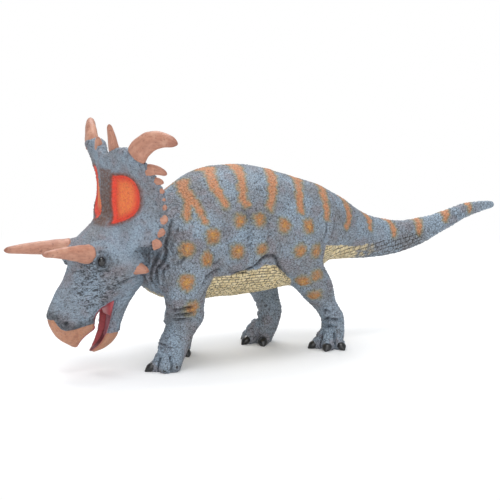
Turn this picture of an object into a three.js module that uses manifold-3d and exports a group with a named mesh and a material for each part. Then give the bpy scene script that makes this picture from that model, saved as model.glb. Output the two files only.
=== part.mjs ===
// A walking horned dinosaur figure, moulded in fourteen pieces that plug into each other.
// Lengths are in millimetres. The muzzle points along -X, the animal's left side along -Y, up is +Z.
import {
  BoxGeometry,
  Box3,
  BufferGeometry,
  CylinderGeometry,
  Float32BufferAttribute,
  Group,
  Matrix4,
  Mesh,
  MeshStandardMaterial,
  QuadraticBezierCurve3,
  SphereGeometry,
  Vector3,
} from 'three';
import { mergeVertices } from 'three/addons/utils/BufferGeometryUtils.js';
import Module from 'manifold-3d';

const wasm = await Module();
wasm.setup();

// Overall sizes
const backLength = 100; // brow to tail root
const backHeight = 62; // ground to the top of the back
const trunkWidth = 38;
const tailLength = 63.5; // behind the tail seam
const headLength = 38; // poll to beak tip
const headDepth = 25;
const headWidth = 26;
const faceSlope = 60; // degrees the face drops below level
const pollPlaceShare = [-0.5, 0.689]; // of back length and back height

// Fits and thicknesses
const gap = 0.3; // clearance left between neighbouring pieces
const joinDepth = 6; // how far the tail plug and the neck plug reach
const plugWidth = 12;
const tailPlugHeight = 15;
const neckPlugHeight = 11;
const pegRadius = 3; // six-sided pegs of the legs
const pegReach = 2; // how far a leg peg stands out of the leg
const jawPegRadius = 1.9;
const jawPegReach = 3;
const hornPegRadius = 1.3;
const hornPegReach = 3.2;
const hookPegRadius = 1;
const spikePegRadius = 0.7;
const spikePegReach = 2;
const cavityWidth = 13;

// Roundness of the cross sections: two is an ellipse, more is squarer
const trunkPower = 2.2;
const limbPower = 3;
const skullPower = 2.4;
const jawPower = 3;
const plugPower = 4;
const roundPower = 2;

// Level of the widest part of a cross section, from its underside
const trunkWidestShare = 0.46;
const skullWidestShare = 0.32;
const jawWidestShare = 0.7;
const tongueWidestShare = 0.5;

// Facets round each kind of piece
const trunkFacets = 24;
const cavityFacets = 16;
const limbFacets = 16;
const headFacets = 20;
const hornFacets = 10;
const hornSteps = 8;
const pointFacets = 6;
const pointSteps = 2;
const toeFacets = [8, 6];
const windowFacets = [14, 8];
const pegFacets = 6;

const weldDistance = 1e-5;
const steepShare = 0.85; // how far a direction may lean to an axis that is used beside it

const skinColour = 0x75808c;
const hornColour = 0xc08a70;
const skinRoughness = 0.55;

// Trunk from neck to tail seam, then tail. Columns: place along the back,
// underside, top, half width (shares of back length, back height, back height, trunk width).
const trunkShares = [
  [-0.45, 0.5, 0.75, 0.25],
  [-0.4, 0.42, 0.77, 0.33],
  [-0.34, 0.35, 0.8, 0.395],
  [-0.27, 0.322, 0.888, 0.44],
  [-0.18, 0.316, 0.965, 0.475],
  [-0.08, 0.314, 0.982, 0.5],
  [0.02, 0.32, 0.963, 0.5],
  [0.12, 0.345, 0.912, 0.475],
  [0.2, 0.365, 0.865, 0.42],
  [0.25, 0.385, 0.836, 0.37],
  [0.3, 0.406, 0.788, 0.316],
];
// Tail columns: place along the tail, underside, top, half width.
const tailShares = [
  [0, 0.406, 0.786, 0.316],
  [0.07, 0.414, 0.742, 0.275],
  [0.15, 0.418, 0.684, 0.226],
  [0.24, 0.419, 0.639, 0.184],
  [0.35, 0.424, 0.606, 0.15],
  [0.47, 0.444, 0.59, 0.12],
  [0.58, 0.476, 0.6, 0.1],
  [0.7, 0.523, 0.622, 0.082],
  [0.82, 0.573, 0.65, 0.064],
  [0.93, 0.595, 0.654, 0.047],
  [1, 0.613, 0.639, 0.02],
];
// Hollow of the trunk: place along the back, underside, top, half width (share of cavity width).
const cavityShares = [
  [-0.38, 0.52, 0.68, 0.15],
  [-0.33, 0.45, 0.73, 0.4],
  [-0.26, 0.395, 0.81, 0.5],
  [-0.14, 0.375, 0.89, 0.5],
  [0, 0.375, 0.89, 0.5],
  [0.12, 0.4, 0.84, 0.5],
  [0.2, 0.43, 0.79, 0.47],
  [0.26, 0.46, 0.74, 0.42],
];

// Front leg rows: height, centre of the left leg, centre of the right leg, half length,
// side place, half width (shares of back height, back length for three, trunk width for two).
const frontLegShares = [
  [0, -0.374, -0.209, 0.047, 0.276, 0.13],
  [0.021, -0.368, -0.204, 0.052, 0.276, 0.14],
  [0.065, -0.354, -0.204, 0.046, 0.276, 0.135],
  [0.13, -0.338, -0.206, 0.047, 0.276, 0.128],
  [0.19, -0.32, -0.199, 0.047, 0.289, 0.129],
  [0.26, -0.297, -0.176, 0.053, 0.303, 0.137],
  [0.32, -0.305, -0.168, 0.059, 0.324, 0.142],
  [0.38, -0.312, -0.176, 0.067, 0.347, 0.135],
  [0.48, -0.3, -0.204, 0.076, 0.37, 0.118],
  [0.59, -0.288, -0.224, 0.076, 0.382, 0.108],
  [0.68, -0.28, -0.239, 0.06, 0.374, 0.09],
  [0.735, -0.276, -0.244, 0.036, 0.36, 0.055],
];
// Hind leg rows, same columns.
const hindLegShares = [
  [0, 0.245, 0.075, 0.05, 0.224, 0.128],
  [0.021, 0.248, 0.077, 0.05, 0.224, 0.138],
  [0.068, 0.255, 0.098, 0.036, 0.224, 0.125],
  [0.113, 0.255, 0.117, 0.032, 0.229, 0.116],
  [0.178, 0.245, 0.126, 0.037, 0.242, 0.114],
  [0.242, 0.213, 0.114, 0.043, 0.263, 0.119],
  [0.29, 0.189, 0.105, 0.053, 0.284, 0.126],
  [0.347, 0.165, 0.1, 0.066, 0.316, 0.132],
  [0.405, 0.14, 0.096, 0.069, 0.35, 0.132],
  [0.48, 0.098, 0.085, 0.08, 0.385, 0.122],
  [0.59, 0.07, 0.072, 0.104, 0.412, 0.112],
  [0.69, 0.065, 0.068, 0.095, 0.41, 0.1],
  [0.755, 0.065, 0.066, 0.062, 0.392, 0.08],
];
const legPegHeightShare = 0.58; // of back height
const toeDegrees = [-10, 25, 60, 95]; // round the foot, from straight ahead to the outer side
const toeReachShare = 0.8; // place of a toe between foot middle and foot edge
const toeSize = new Vector3(2.2, 1.9, 2.1);
const toeHeight = 1.5;

// Skull rows: place down the face, underside, top, half width
// (shares of head length, head depth, head depth, head width).
const skullShares = [
  [-0.105, -0.36, 0.24, 0.33],
  [0, -0.48, 0.27, 0.42],
  [0.13, -0.5, 0.34, 0.46],
  [0.263, -0.48, 0.38, 0.42],
  [0.395, -0.44, 0.31, 0.34],
  [0.526, -0.33, 0.31, 0.262],
  [0.658, -0.26, 0.335, 0.215],
  [0.75, -0.24, 0.335, 0.195],
  [0.81, -0.185, 0.32, 0.175],
  [0.868, -0.155, 0.285, 0.152],
  [0.921, -0.14, 0.208, 0.12],
  [0.968, -0.184, 0.092, 0.085],
  [0.997, -0.208, -0.024, 0.042],
];
const jawShares = [
  [0.13, -0.6, -0.4, 0.27],
  [0.237, -0.656, -0.27, 0.36],
  [0.35, -0.64, -0.2, 0.33],
  [0.484, -0.624, -0.33, 0.25],
  [0.605, -0.62, -0.41, 0.2],
  [0.71, -0.632, -0.46, 0.165],
  [0.808, -0.6, -0.48, 0.135],
  [0.884, -0.555, -0.47, 0.09],
  [0.932, -0.5, -0.45, 0.04],
];
const mouthShares = [
  [0.5, -0.45, -0.24, 0.11],
  [0.605, -0.53, -0.3, 0.13],
  [0.71, -0.56, -0.36, 0.11],
  [0.808, -0.545, -0.4, 0.08],
  [0.87, -0.53, -0.42, 0.045],
];
const tongueShares = [
  [0.49, -0.5, -0.41, 0.055],
  [0.6, -0.575, -0.46, 0.07],
  [0.7, -0.6, -0.5, 0.062],
  [0.77, -0.59, -0.52, 0.035],
];
const jawPegShare = [0.3, -0.24]; // of head length and head depth

// Frill half outline: side place (share of head width), height (share of head length).
const frillShares = [
  [0.54, -0.08],
  [0.654, -0.026],
  [0.715, 0.08],
  [0.738, 0.197],
  [0.742, 0.33],
  [0.731, 0.447],
  [0.692, 0.54],
  [0.646, 0.626],
  [0.588, 0.7],
  [0.481, 0.747],
  [0.346, 0.765],
  [0.192, 0.745],
  [0.096, 0.705],
];
const frillFootShare = -0.053; // lowest and highest point on the middle line
const frillNotchShare = 0.67;
const frillMiddleShare = 0.34;
const frillForwardShare = 0.15; // of head length, at the height of the poll
const frillLeanShare = 0.186; // backward lean per unit of height
const frillSweep = 10; // how far the side edges sweep back at the lower end of the frill
const frillSweepPower = 1.5;
const frillSweepStartShare = 0.08; // height of the full sweep, of head length
const frillSweepFadeShare = 0.63; // height above it where the sweep has faded
const frillThickness = 4.2;
const rimThickness = 3.4;
const ringShares = [0.35, 0.7, 1];
const windowPlaceShare = [0.357, 0.342]; // side and height of a frill window
const windowSize = new Vector3(1, 5, 7.6);
const windowTurn = 22; // degrees

// Horns given by base, bend and tip, each forward, sideways and up from the poll
// (shares of head length, head width, head length); side is -1 on the left.
const hornShares = {
  brow_horn_left: {
    side: -1,
    base: [0.285, 0.3, -0.1],
    bend: [0.55, 0.41, -0.04],
    tip: [0.81, 0.52, -0.026],
  },
  brow_horn_right: {
    side: 1,
    base: [0.285, 0.3, -0.115],
    bend: [0.55, 0.41, -0.1],
    tip: [0.81, 0.52, -0.115],
  },
  frill_hook_left: {
    side: -1,
    base: [-0.02, 0.55, 0.68],
    bend: [-0.075, 0.75, 0.967],
    tip: [-0.21, 1.075, 0.816],
  },
  frill_hook_right: {
    side: 1,
    base: [-0.022, 0.54, 0.69],
    bend: [-0.07, 0.7, 0.92],
    tip: [-0.21, 1.075, 0.79],
  },
  frill_spike_left: {
    side: -1,
    base: [-0.02, 0.11, 0.7],
    bend: [0, 0.1, 0.83],
    tip: [0.02, 0.085, 0.935],
  },
  frill_spike_right: {
    side: 1,
    base: [-0.02, 0.31, 0.7],
    bend: [0, 0.28, 0.76],
    tip: [0.02, 0.225, 0.81],
  },
};
// Half widths of the horns at the base (through and along the frill) and tip, and how fast they taper.
const browHornGirth = { through: 3.2, along: 3.2, tip: 0.45, taper: 1.1 };
const hookGirth = { through: 2.3, along: 3.8, tip: 0.55, taper: 0.75 };
const spikeGirth = { through: 1.5, along: 1.65, tip: 0.4, taper: 0.8 };
const cheekPointGirth = { through: 1.9, along: 1.9, tip: 0.5, taper: 1 };
const rimPointTip = 0.3;
// Small points moulded on the frill edge: side, height, reach, half width
// (shares of head width, head length, and rim thickness for two).
const rimPointShares = [
  [0.665, 0.58, 1.53, 0.5],
  [0.71, 0.49, 0.82, 0.35],
  [0.73, 0.43, 0.53, 0.3],
  [0.74, 0.37, 0.41, 0.3],
  [0.742, 0.29, 0.47, 0.41],
  [0.738, 0.205, 0.53, 0.47],
  [0.72, 0.1, 0.56, 0.47],
  [0.67, 0, 0.59, 0.5],
];
const rimPointSink = 1.6;
const rimPointBackShare = 0.75; // lean of the points towards the tail
const browPlaceShare = [0.235, 0.285, -0.15]; // the boss that carries a brow horn
const browSize = new Vector3(5, 4.4, 4.4);
const browFacets = [14, 8];
const cheekPointShares = { base: [-0.06, 0.42, -0.22], tip: [-0.14, 0.56, -0.24] };

const radians = Math.PI / 180;
const xAxis = new Vector3(1, 0, 0);
const yAxis = new Vector3(0, 1, 0);
const zAxis = new Vector3(0, 0, 1);
const faceDown = new Vector3(-Math.cos(faceSlope * radians), 0, -Math.sin(faceSlope * radians));
const faceOut = new Vector3(-Math.sin(faceSlope * radians), 0, Math.cos(faceSlope * radians));
const poll = new Vector3(pollPlaceShare[0] * backLength, 0, pollPlaceShare[1] * backHeight);

// A closed geometry as a solid that can be joined and cut.
function solidOf(geometry) {
  const bare = geometry.clone();
  bare.deleteAttribute('normal');
  bare.deleteAttribute('uv');
  const merged = mergeVertices(bare, weldDistance);
  return new wasm.Manifold(new wasm.Mesh({
    numProp: 3,
    vertProperties: new Float32Array(merged.attributes.position.array),
    triVerts: new Uint32Array(merged.index.array),
  }));
}

// Rings of points joined into one closed skin, each end closed by a fan to the middle of its ring.
function skinOf(rings) {
  const facets = rings[0].length;
  const points = rings.flat();
  const index = [];
  for (let ring = 0; ring < rings.length - 1; ring++) {
    for (let step = 0; step < facets; step++) {
      const here = ring * facets + step;
      const next = ring * facets + (step + 1) % facets;
      index.push(here, next, next + facets, here, next + facets, here + facets);
    }
  }
  const ends = [rings[0], rings[rings.length - 1]];
  ends.forEach((ring, end) => {
    const start = end * (rings.length - 1) * facets;
    const middle = new Vector3();
    ring.forEach((point) => middle.addScaledVector(point, 1 / facets));
    points.push(middle);
    for (let step = 0; step < facets; step++) {
      const here = start + step;
      const next = start + (step + 1) % facets;
      index.push(...(end ? [here, next, points.length - 1] : [next, here, points.length - 1]));
    }
  });
  const geometry = new BufferGeometry().setFromPoints(points);
  geometry.setIndex(index);
  return solidOf(geometry);
}

// One rounded ring: the power sets how square it is, the radii may differ above and below.
function ringOf(middle, across, up, wide, over, under, power, facets) {
  const ring = [];
  for (let step = 0; step < facets; step++) {
    const turn = (2 * Math.PI * step) / facets;
    const cos = Math.sign(Math.cos(turn)) * Math.abs(Math.cos(turn)) ** (2 / power);
    const sin = Math.sign(Math.sin(turn)) * Math.abs(Math.sin(turn)) ** (2 / power);
    const tall = sin > 0 ? over : under;
    ring.push(middle.clone().addScaledVector(across, wide * cos).addScaledVector(up, tall * sin));
  }
  return ring;
}

// Sections of { middle, wide, over, under } on parallel planes, skinned; swell grows the whole solid.
function loft(sections, across, up, power, facets, swell = 0) {
  const along = across.clone().cross(up);
  const last = sections.length - 1;
  const rings = sections.map((section, place) => {
    const push = place === 0 ? -swell : place === last ? swell : 0;
    const middle = section.middle.clone().addScaledVector(along, push);
    const { wide, over, under } = section;
    return ringOf(middle, across, up, wide + swell, over + swell, under + swell, power, facets);
  });
  return skinOf(rings);
}

// Table rows of place, underside, top and half width, as sections.
function sectionsOf(rows, origin, along, up, length, height, width, widestShare) {
  return rows.map(([place, low, high, half]) => {
    const level = low + (high - low) * widestShare;
    return {
      middle: origin.clone().addScaledVector(along, place * length).addScaledVector(up, level * height),
      wide: half * width,
      over: (high - level) * height,
      under: (level - low) * height,
    };
  });
}

function trunkLoft(rows, start, length, width, facets, swell) {
  const origin = new Vector3(start, 0, 0);
  const sections = sectionsOf(rows, origin, xAxis, zAxis, length, backHeight, width, trunkWidestShare);
  return loft(sections, yAxis, zAxis, trunkPower, facets, swell);
}

function headLoft(rows, power, widestShare, swell) {
  const sizes = [headLength, headDepth, headWidth];
  const sections = sectionsOf(rows, poll, faceDown, faceOut, ...sizes, widestShare);
  return loft(sections, yAxis.clone().negate(), faceOut, power, headFacets, swell);
}

function plugLoft(from, to, height, plugHeight, swell) {
  const ends = [from, to].map((x) => ({
    middle: new Vector3(x, 0, height),
    wide: plugWidth / 2,
    over: plugHeight / 2,
    under: plugHeight / 2,
  }));
  return loft(ends, yAxis, zAxis, plugPower, cavityFacets, swell);
}

function legLoft(rows, side, swell) {
  const column = side < 0 ? 1 : 2;
  const sections = rows.map((row) => ({
    middle: new Vector3(row[column] * backLength, side * row[4] * trunkWidth, row[0] * backHeight),
    wide: row[3] * backLength,
    over: row[5] * trunkWidth,
    under: row[5] * trunkWidth,
  }));
  return loft(sections, xAxis, yAxis, limbPower, limbFacets, swell);
}

// A six-sided peg from one point to another.
function peg(from, to, radius, swell) {
  const axis = to.clone().sub(from);
  const reach = axis.length() + 2 * swell;
  const turn = new Matrix4().makeBasis(...basisFor(axis));
  const geometry = new CylinderGeometry(radius + swell, radius + swell, reach, pegFacets);
  geometry.applyMatrix4(turn);
  const middle = from.clone().add(to).multiplyScalar(0.5);
  geometry.translate(middle.x, middle.y, middle.z);
  return solidOf(geometry);
}

// Three axes at right angles, the second along the given one.
function basisFor(axis) {
  const second = axis.clone().normalize();
  const helper = Math.abs(second.z) < steepShare ? zAxis : xAxis;
  const first = second.clone().cross(helper).normalize();
  return [first, second, first.clone().cross(second)];
}

function headPlace([forward, sideways, up], side) {
  return poll.clone().add(new Vector3(-forward * headLength, side * sideways * headWidth, up * headLength));
}

// A tapered horn along a bent line; its cross section may be flatter through the frill than along it.
function hornOf(line, girth, steps, facets, swell) {
  const curve = new QuadraticBezierCurve3(...line);
  const rings = [];
  for (let step = 0; step <= steps; step++) {
    const share = step / steps;
    const tangent = curve.getTangent(share);
    const level = Math.abs(tangent.x) < steepShare ? xAxis : zAxis;
    const across = level.clone().addScaledVector(tangent, -tangent.dot(level)).normalize();
    const up = tangent.clone().cross(across);
    const taper = (1 - share) ** girth.taper;
    const wide = girth.tip + (girth.through - girth.tip) * taper + swell;
    const tall = girth.tip + (girth.along - girth.tip) * taper + swell;
    const push = step === 0 ? -swell : step === steps ? swell : 0;
    const middle = curve.getPoint(share).addScaledVector(tangent, push);
    rings.push(ringOf(middle, across, up, wide, tall, tall, roundPower, facets));
  }
  return skinOf(rings);
}

// A horn with the peg that plugs it into the head.
function horn(name, girth, pegGirth, pegDepth, swell = 0) {
  const { side, base, bend, tip } = hornShares[name];
  const line = [base, bend, tip].map((share) => headPlace(share, side));
  const inward = line[1].clone().sub(line[0]).normalize();
  const pegStart = line[0].clone().addScaledVector(inward, pegDepth / 2);
  const pegEnd = line[0].clone().addScaledVector(inward, -pegDepth);
  return hornOf(line, girth, hornSteps, hornFacets, swell).add(peg(pegStart, pegEnd, pegGirth, swell));
}

const frillReachShare = Math.max(...frillShares.map((row) => row[0]));

// Place of the front face of the frill ahead of (negative) or behind the poll.
function frillForward(side, height) {
  const edgeShare = Math.abs(side) / (frillReachShare * headWidth);
  const heightShare = height / headLength;
  const forward = (frillForwardShare - frillLeanShare * heightShare) * headLength;
  const fade = Math.max(0, 1 - ((heightShare - frillSweepStartShare) / frillSweepFadeShare) ** 2);
  return -forward + frillSweep * fade * edgeShare ** frillSweepPower;
}

// The frill as a bent slab: rings spread from its middle to the edge in front and return behind.
function frill() {
  const left = frillShares.map(([side, height]) => [-side, height]);
  const outline = [[0, frillFootShare], ...frillShares, [0, frillNotchShare], ...left.reverse()];
  const front = ringShares.map((share) => [share, 0]);
  const back = [...ringShares].reverse().map((share) => [share, 1]);
  const rings = [...front, ...back].map(([share, behind]) => outline.map(([side, height]) => {
    const y = side * share * headWidth;
    const z = (frillMiddleShare + (height - frillMiddleShare) * share) * headLength;
    const thickness = share === 1 ? rimThickness : frillThickness;
    return poll.clone().add(new Vector3(frillForward(y, z) + behind * thickness, y, z));
  }));
  return skinOf(rings);
}

function frillWindow(side) {
  const geometry = new SphereGeometry(1, ...windowFacets);
  geometry.scale(windowSize.x, windowSize.y, windowSize.z);
  geometry.rotateZ(-side * windowTurn * radians);
  const y = side * windowPlaceShare[0] * headWidth;
  const z = windowPlaceShare[1] * headLength;
  geometry.translate(poll.x + frillForward(y, z), y, poll.z + z);
  return solidOf(geometry);
}

// A straight point on the head, from inside the skin to its tip.
function pointOf(from, to, girth) {
  const line = [from, from.clone().lerp(to, 0.5), to];
  return hornOf(line, girth, pointSteps, pointFacets, 0);
}

// A small point standing off the frill edge, outward and back.
function rimPoint([sideShare, heightShare, reachShare, halfShare], side) {
  const y = side * sideShare * headWidth;
  const z = heightShare * headLength;
  const x = frillForward(y, z) + rimThickness / 2;
  const edge = poll.clone().add(new Vector3(x, y, z));
  const outward = new Vector3(rimPointBackShare, side, 0).normalize();
  const from = edge.clone().addScaledVector(outward, -rimPointSink);
  const to = edge.clone().addScaledVector(outward, reachShare * rimThickness);
  const half = halfShare * rimThickness;
  return pointOf(from, to, { through: half, along: half, tip: rimPointTip, taper: 1 });
}

function brow(side) {
  const geometry = new SphereGeometry(1, ...browFacets);
  geometry.scale(browSize.x, browSize.y, browSize.z);
  geometry.translate(...headPlace(browPlaceShare, side).toArray());
  return solidOf(geometry);
}

// A leg standing on a flat sole, with toes round its foot and a peg on its inner face.
function legOf(rows, side) {
  const column = side < 0 ? 1 : 2;
  const foot = rows[1];
  const toes = toeDegrees.map((degrees) => {
    const geometry = new SphereGeometry(1, ...toeFacets);
    geometry.scale(toeSize.x, toeSize.y, toeSize.z);
    const ahead = foot[3] * backLength * toeReachShare * Math.cos(degrees * radians);
    const outward = foot[5] * trunkWidth * toeReachShare * Math.sin(degrees * radians);
    const x = foot[column] * backLength - ahead;
    const y = side * (foot[4] * trunkWidth + outward);
    geometry.translate(x, y, toeHeight);
    return solidOf(geometry);
  });
  const ground = new BoxGeometry(backLength * 2, backLength * 2, backHeight);
  ground.translate(0, 0, -backHeight / 2);
  return legLoft(rows, side, 0)
    .add(wasm.Manifold.union(toes))
    .subtract(solidOf(ground))
    .add(legPeg(rows, side, 0));
}

// Peg on the inner face of a leg, at the height where the leg lies against the trunk.
function legPeg(rows, side, swell) {
  const above = rows.findIndex((row) => row[0] >= legPegHeightShare);
  const row = rows[above];
  const x = row[side < 0 ? 1 : 2] * backLength;
  const inner = (row[4] - row[5]) * trunkWidth;
  const height = row[0] * backHeight;
  const from = new Vector3(x, side * (inner + pegReach), height);
  const to = new Vector3(x, side * (inner - pegReach), height);
  return peg(from, to, pegRadius, swell);
}

// Neck plug, tail plug and the places they fit.
const neckEnd = trunkShares[0];
const neckX = neckEnd[0] * backLength;
const neckHeight = ((neckEnd[1] + neckEnd[2]) / 2) * backHeight;
const tailStart = tailShares[0];
const tailX = trunkShares[trunkShares.length - 1][0] * backLength;
const tailHeight = ((tailStart[1] + tailStart[2]) / 2) * backHeight;

const trunk = trunkLoft(trunkShares, 0, backLength, trunkWidth, trunkFacets, 0);
const trunkRoom = trunkLoft(trunkShares, 0, backLength, trunkWidth, trunkFacets, gap);
const cavity = trunkLoft(cavityShares, 0, backLength, cavityWidth, cavityFacets, 0);
const plugAt = (x, height, plugHeight, swell) => (
  plugLoft(x - joinDepth, x + joinDepth / 2, height, plugHeight, swell)
);
const neckPlug = (swell) => plugAt(neckX, neckHeight, neckPlugHeight, swell);
const tailPlug = (swell) => plugAt(tailX, tailHeight, tailPlugHeight, swell);

const legTable = {
  front_leg_left: [frontLegShares, -1],
  front_leg_right: [frontLegShares, 1],
  hind_leg_left: [hindLegShares, -1],
  hind_leg_right: [hindLegShares, 1],
};
const legRooms = Object.values(legTable).flatMap(([rows, side]) => [
  legLoft(rows, side, gap),
  legPeg(rows, side, gap),
]);

const torso = trunk
  .add(neckPlug(0))
  .subtract(cavity)
  .subtract(tailPlug(gap))
  .subtract(wasm.Manifold.union(legRooms));

const tail = trunkLoft(tailShares, tailX + gap, tailLength, trunkWidth, trunkFacets, 0)
  .add(tailPlug(0));

const jawPegFrom = poll.clone()
  .addScaledVector(faceDown, jawPegShare[0] * headLength)
  .addScaledVector(faceOut, jawPegShare[1] * headDepth);
const jawPeg = (swell) => peg(
  jawPegFrom.clone().addScaledVector(faceOut, -jawPegReach),
  jawPegFrom.clone().addScaledVector(faceOut, jawPegReach),
  jawPegRadius,
  swell,
);
const jawLoft = (swell) => headLoft(jawShares, jawPower, jawWidestShare, swell);
const lowerJaw = jawLoft(0)
  .subtract(headLoft(mouthShares, jawPower, jawWidestShare, 0))
  .add(headLoft(tongueShares, roundPower, tongueWidestShare, 0))
  .subtract(trunkRoom)
  .subtract(neckPlug(gap))
  .add(jawPeg(0));

const hornPieces = {
  brow_horn_left: [browHornGirth, hornPegRadius, hornPegReach],
  brow_horn_right: [browHornGirth, hornPegRadius, hornPegReach],
  frill_hook_left: [hookGirth, hookPegRadius, hornPegReach],
  frill_hook_right: [hookGirth, hookPegRadius, hornPegReach],
  frill_spike_left: [spikeGirth, spikePegRadius, spikePegReach],
  frill_spike_right: [spikeGirth, spikePegRadius, spikePegReach],
};
const hornRooms = Object.entries(hornPieces)
  .map(([name, sizes]) => horn(name, ...sizes, gap));
const points = [-1, 1].flatMap((side) => [
  ...rimPointShares.map((row) => rimPoint(row, side)),
  pointOf(headPlace(cheekPointShares.base, side), headPlace(cheekPointShares.tip, side), cheekPointGirth),
  brow(side),
]);
const head = headLoft(skullShares, skullPower, skullWidestShare, 0)
  .add(frill())
  .add(wasm.Manifold.union(points))
  .subtract(frillWindow(-1))
  .subtract(frillWindow(1))
  .subtract(wasm.Manifold.union([trunkRoom, neckPlug(gap), jawLoft(gap), jawPeg(gap), ...hornRooms]));

const solids = {
  torso,
  tail,
  head,
  lower_jaw: lowerJaw,
};
Object.entries(hornPieces).forEach(([name, sizes]) => {
  solids[name] = horn(name, ...sizes);
});
Object.entries(legTable).forEach(([name, [rows, side]]) => {
  solids[name] = legOf(rows, side);
});

// A solid as a named mesh.
function meshOf(name, solid) {
  const { vertProperties, triVerts } = solid.getMesh();
  const geometry = new BufferGeometry();
  geometry.setAttribute('position', new Float32BufferAttribute(vertProperties, 3));
  geometry.setIndex(Array.from(triVerts));
  geometry.computeVertexNormals();
  const color = /horn|hook|spike/.test(name) ? hornColour : skinColour;
  const material = new MeshStandardMaterial({ color, roughness: skinRoughness, metalness: 0 });
  const mesh = new Mesh(geometry, material);
  mesh.name = name;
  return mesh;
}

// The origin is the middle of the bounding box, at the ground.
const figure = new Group();
Object.entries(solids).forEach(([name, solid]) => figure.add(meshOf(name, solid)));
const bounds = new Box3().setFromObject(figure);
const middle = bounds.getCenter(new Vector3());
figure.children.forEach((mesh) => mesh.geometry.translate(-middle.x, -middle.y, -bounds.min.z));

export default figure;
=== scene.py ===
# %% [markdown]
# # A hand-painted horned dinosaur figure
# The real object is a child's play figure of soft PVC: a walking ceratopsian, moulded in a few
# pieces that plug together, with pebbly skin, painted stripes and spots, flesh-coloured horns
# and black claws. The CAD model fixes its size and its pieces. Blender adds what the CAD cannot
# hold: folds, wrinkles, scales, claws, eyes and paint.
#
# The cells below build each surface with numpy, in millimetres, and put it into a mesh at the
# end. The muzzle points along -X, the side that the photo shows is -Y, and up is +Z.

# %% Load the fixed frame
import math
from itertools import product

import bpy
import numpy as np
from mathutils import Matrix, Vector


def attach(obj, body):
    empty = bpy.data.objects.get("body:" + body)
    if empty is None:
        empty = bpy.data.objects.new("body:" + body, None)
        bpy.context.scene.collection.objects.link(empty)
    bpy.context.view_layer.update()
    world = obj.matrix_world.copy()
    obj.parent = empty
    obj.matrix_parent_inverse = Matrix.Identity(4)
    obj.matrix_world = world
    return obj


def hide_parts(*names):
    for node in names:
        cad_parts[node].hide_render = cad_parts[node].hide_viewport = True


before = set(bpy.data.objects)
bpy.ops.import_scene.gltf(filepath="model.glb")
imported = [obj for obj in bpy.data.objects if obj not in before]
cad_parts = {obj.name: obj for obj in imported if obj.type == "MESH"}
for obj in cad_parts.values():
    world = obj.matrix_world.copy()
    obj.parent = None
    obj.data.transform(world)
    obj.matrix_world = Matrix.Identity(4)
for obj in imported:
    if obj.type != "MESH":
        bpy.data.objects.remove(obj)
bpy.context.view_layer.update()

MM = 0.001

# %% [markdown]
# ## Camera
# The photo is a catalogue picture on white: a long lens a little above the animal's back,
# turned 30 degrees towards its face. Such a lens could be matched by eye, but three numbers that
# are worked out from the picture are steadier: the turn, the rise, and the millimetres of the
# figure that one pixel covers. The lens follows from the last one.

# %% Camera at the photo's viewing angle
VIEW_TURN, VIEW_RISE, VIEW_REACH = -30.0, 11.5, 1100.0  # degrees, degrees, mm
SENSOR, PICTURE, PIXEL = 36.0, 500, 0.32  # mm, pixels across, mm of the figure per pixel
AIM = np.array([-6.45, 0.0, 32.7])


def view_direction(turn, rise):
    """Unit vector from the object to an eye: turn about Z from -Y, then rise above the ground."""
    a, e = math.radians(turn), math.radians(rise)
    return np.array([math.sin(a) * math.cos(e), -math.cos(a) * math.cos(e), math.sin(e)])


camera = bpy.data.objects.new("camera", bpy.data.cameras.new("camera"))
bpy.context.scene.collection.objects.link(camera)
eye = AIM + VIEW_REACH * view_direction(VIEW_TURN, VIEW_RISE)
camera.location = Vector(eye * MM)
camera.rotation_euler = Vector(AIM - eye).to_track_quat("-Z", "Y").to_euler()
camera.data.sensor_width = SENSOR
camera.data.lens = SENSOR * VIEW_REACH / (PIXEL * PICTURE)
camera.data.clip_start, camera.data.clip_end = 0.05, 10.0
bpy.context.scene.camera = camera
bpy.context.scene.view_settings.view_transform = "Standard"
print("lens in mm:", round(camera.data.lens, 1))

# %% [markdown]
# ## Small helpers
# Every colour is written as the sRGB value one would read off the figure. Materials are made
# of nodes by one small function, which adds a node, sets it and links its inputs.


# %% Colour, node and mesh helpers
def linear(code):
    """sRGB hex to linear RGBA: each channel c/12.92 below 0.04045, else ((c+0.055)/1.055)^2.4."""
    c = np.array([int(code[i:i + 2], 16) for i in (1, 3, 5)]) / 255
    low, high = c / 12.92, ((c + 0.055) / 1.055) ** 2.4
    return (*np.where(c <= 0.04045, low, high), 1.0)


def add(tree, kind, settings=None, **inputs):
    """Adds a node. Settings are its properties. Inputs are values or sockets, each under the name
    of its socket with _ for a space, or under i0, i1 and so on, the number of its socket."""
    node = tree.nodes.new(kind)
    for name, value in (settings or {}).items():
        setattr(node, name, value)
    for name, value in inputs.items():
        key = int(name[1:]) if name[0] == "i" and name[1:].isdigit() else name.replace("_", " ")
        if isinstance(value, bpy.types.NodeSocket):
            tree.links.new(value, node.inputs[key])
        else:
            node.inputs[key].default_value = value
    return node


def material(name):
    """An empty node material and its node tree."""
    made = bpy.data.materials.new(name)
    made.use_nodes = True
    made.node_tree.nodes.clear()
    return made, made.node_tree


def mesh_of(name, points, triangles):
    """A mesh from whole arrays: points in mm (n, 3) and corner numbers (m, 3)."""
    mesh = bpy.data.meshes.new(name)
    mesh.vertices.add(len(points))
    mesh.vertices.foreach_set("co", (points * MM).astype(np.float32).ravel())
    mesh.loops.add(3 * len(triangles))
    mesh.loops.foreach_set("vertex_index", triangles.astype(np.int32).ravel())
    mesh.polygons.add(len(triangles))
    mesh.polygons.foreach_set("loop_start", np.arange(0, 3 * len(triangles), 3, dtype=np.int32))
    mesh.update()
    mesh.validate()
    return mesh


# %% [markdown]
# ## Floor and light
# The real figure stands on white paper under wide lamps. A bright enough lamp would burn the
# paper out to white, but the figure with it. So the lamps stay at a plain level, the paper takes
# its white from its own colour for the camera, and near the figure it keeps the soft shadow.

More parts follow.
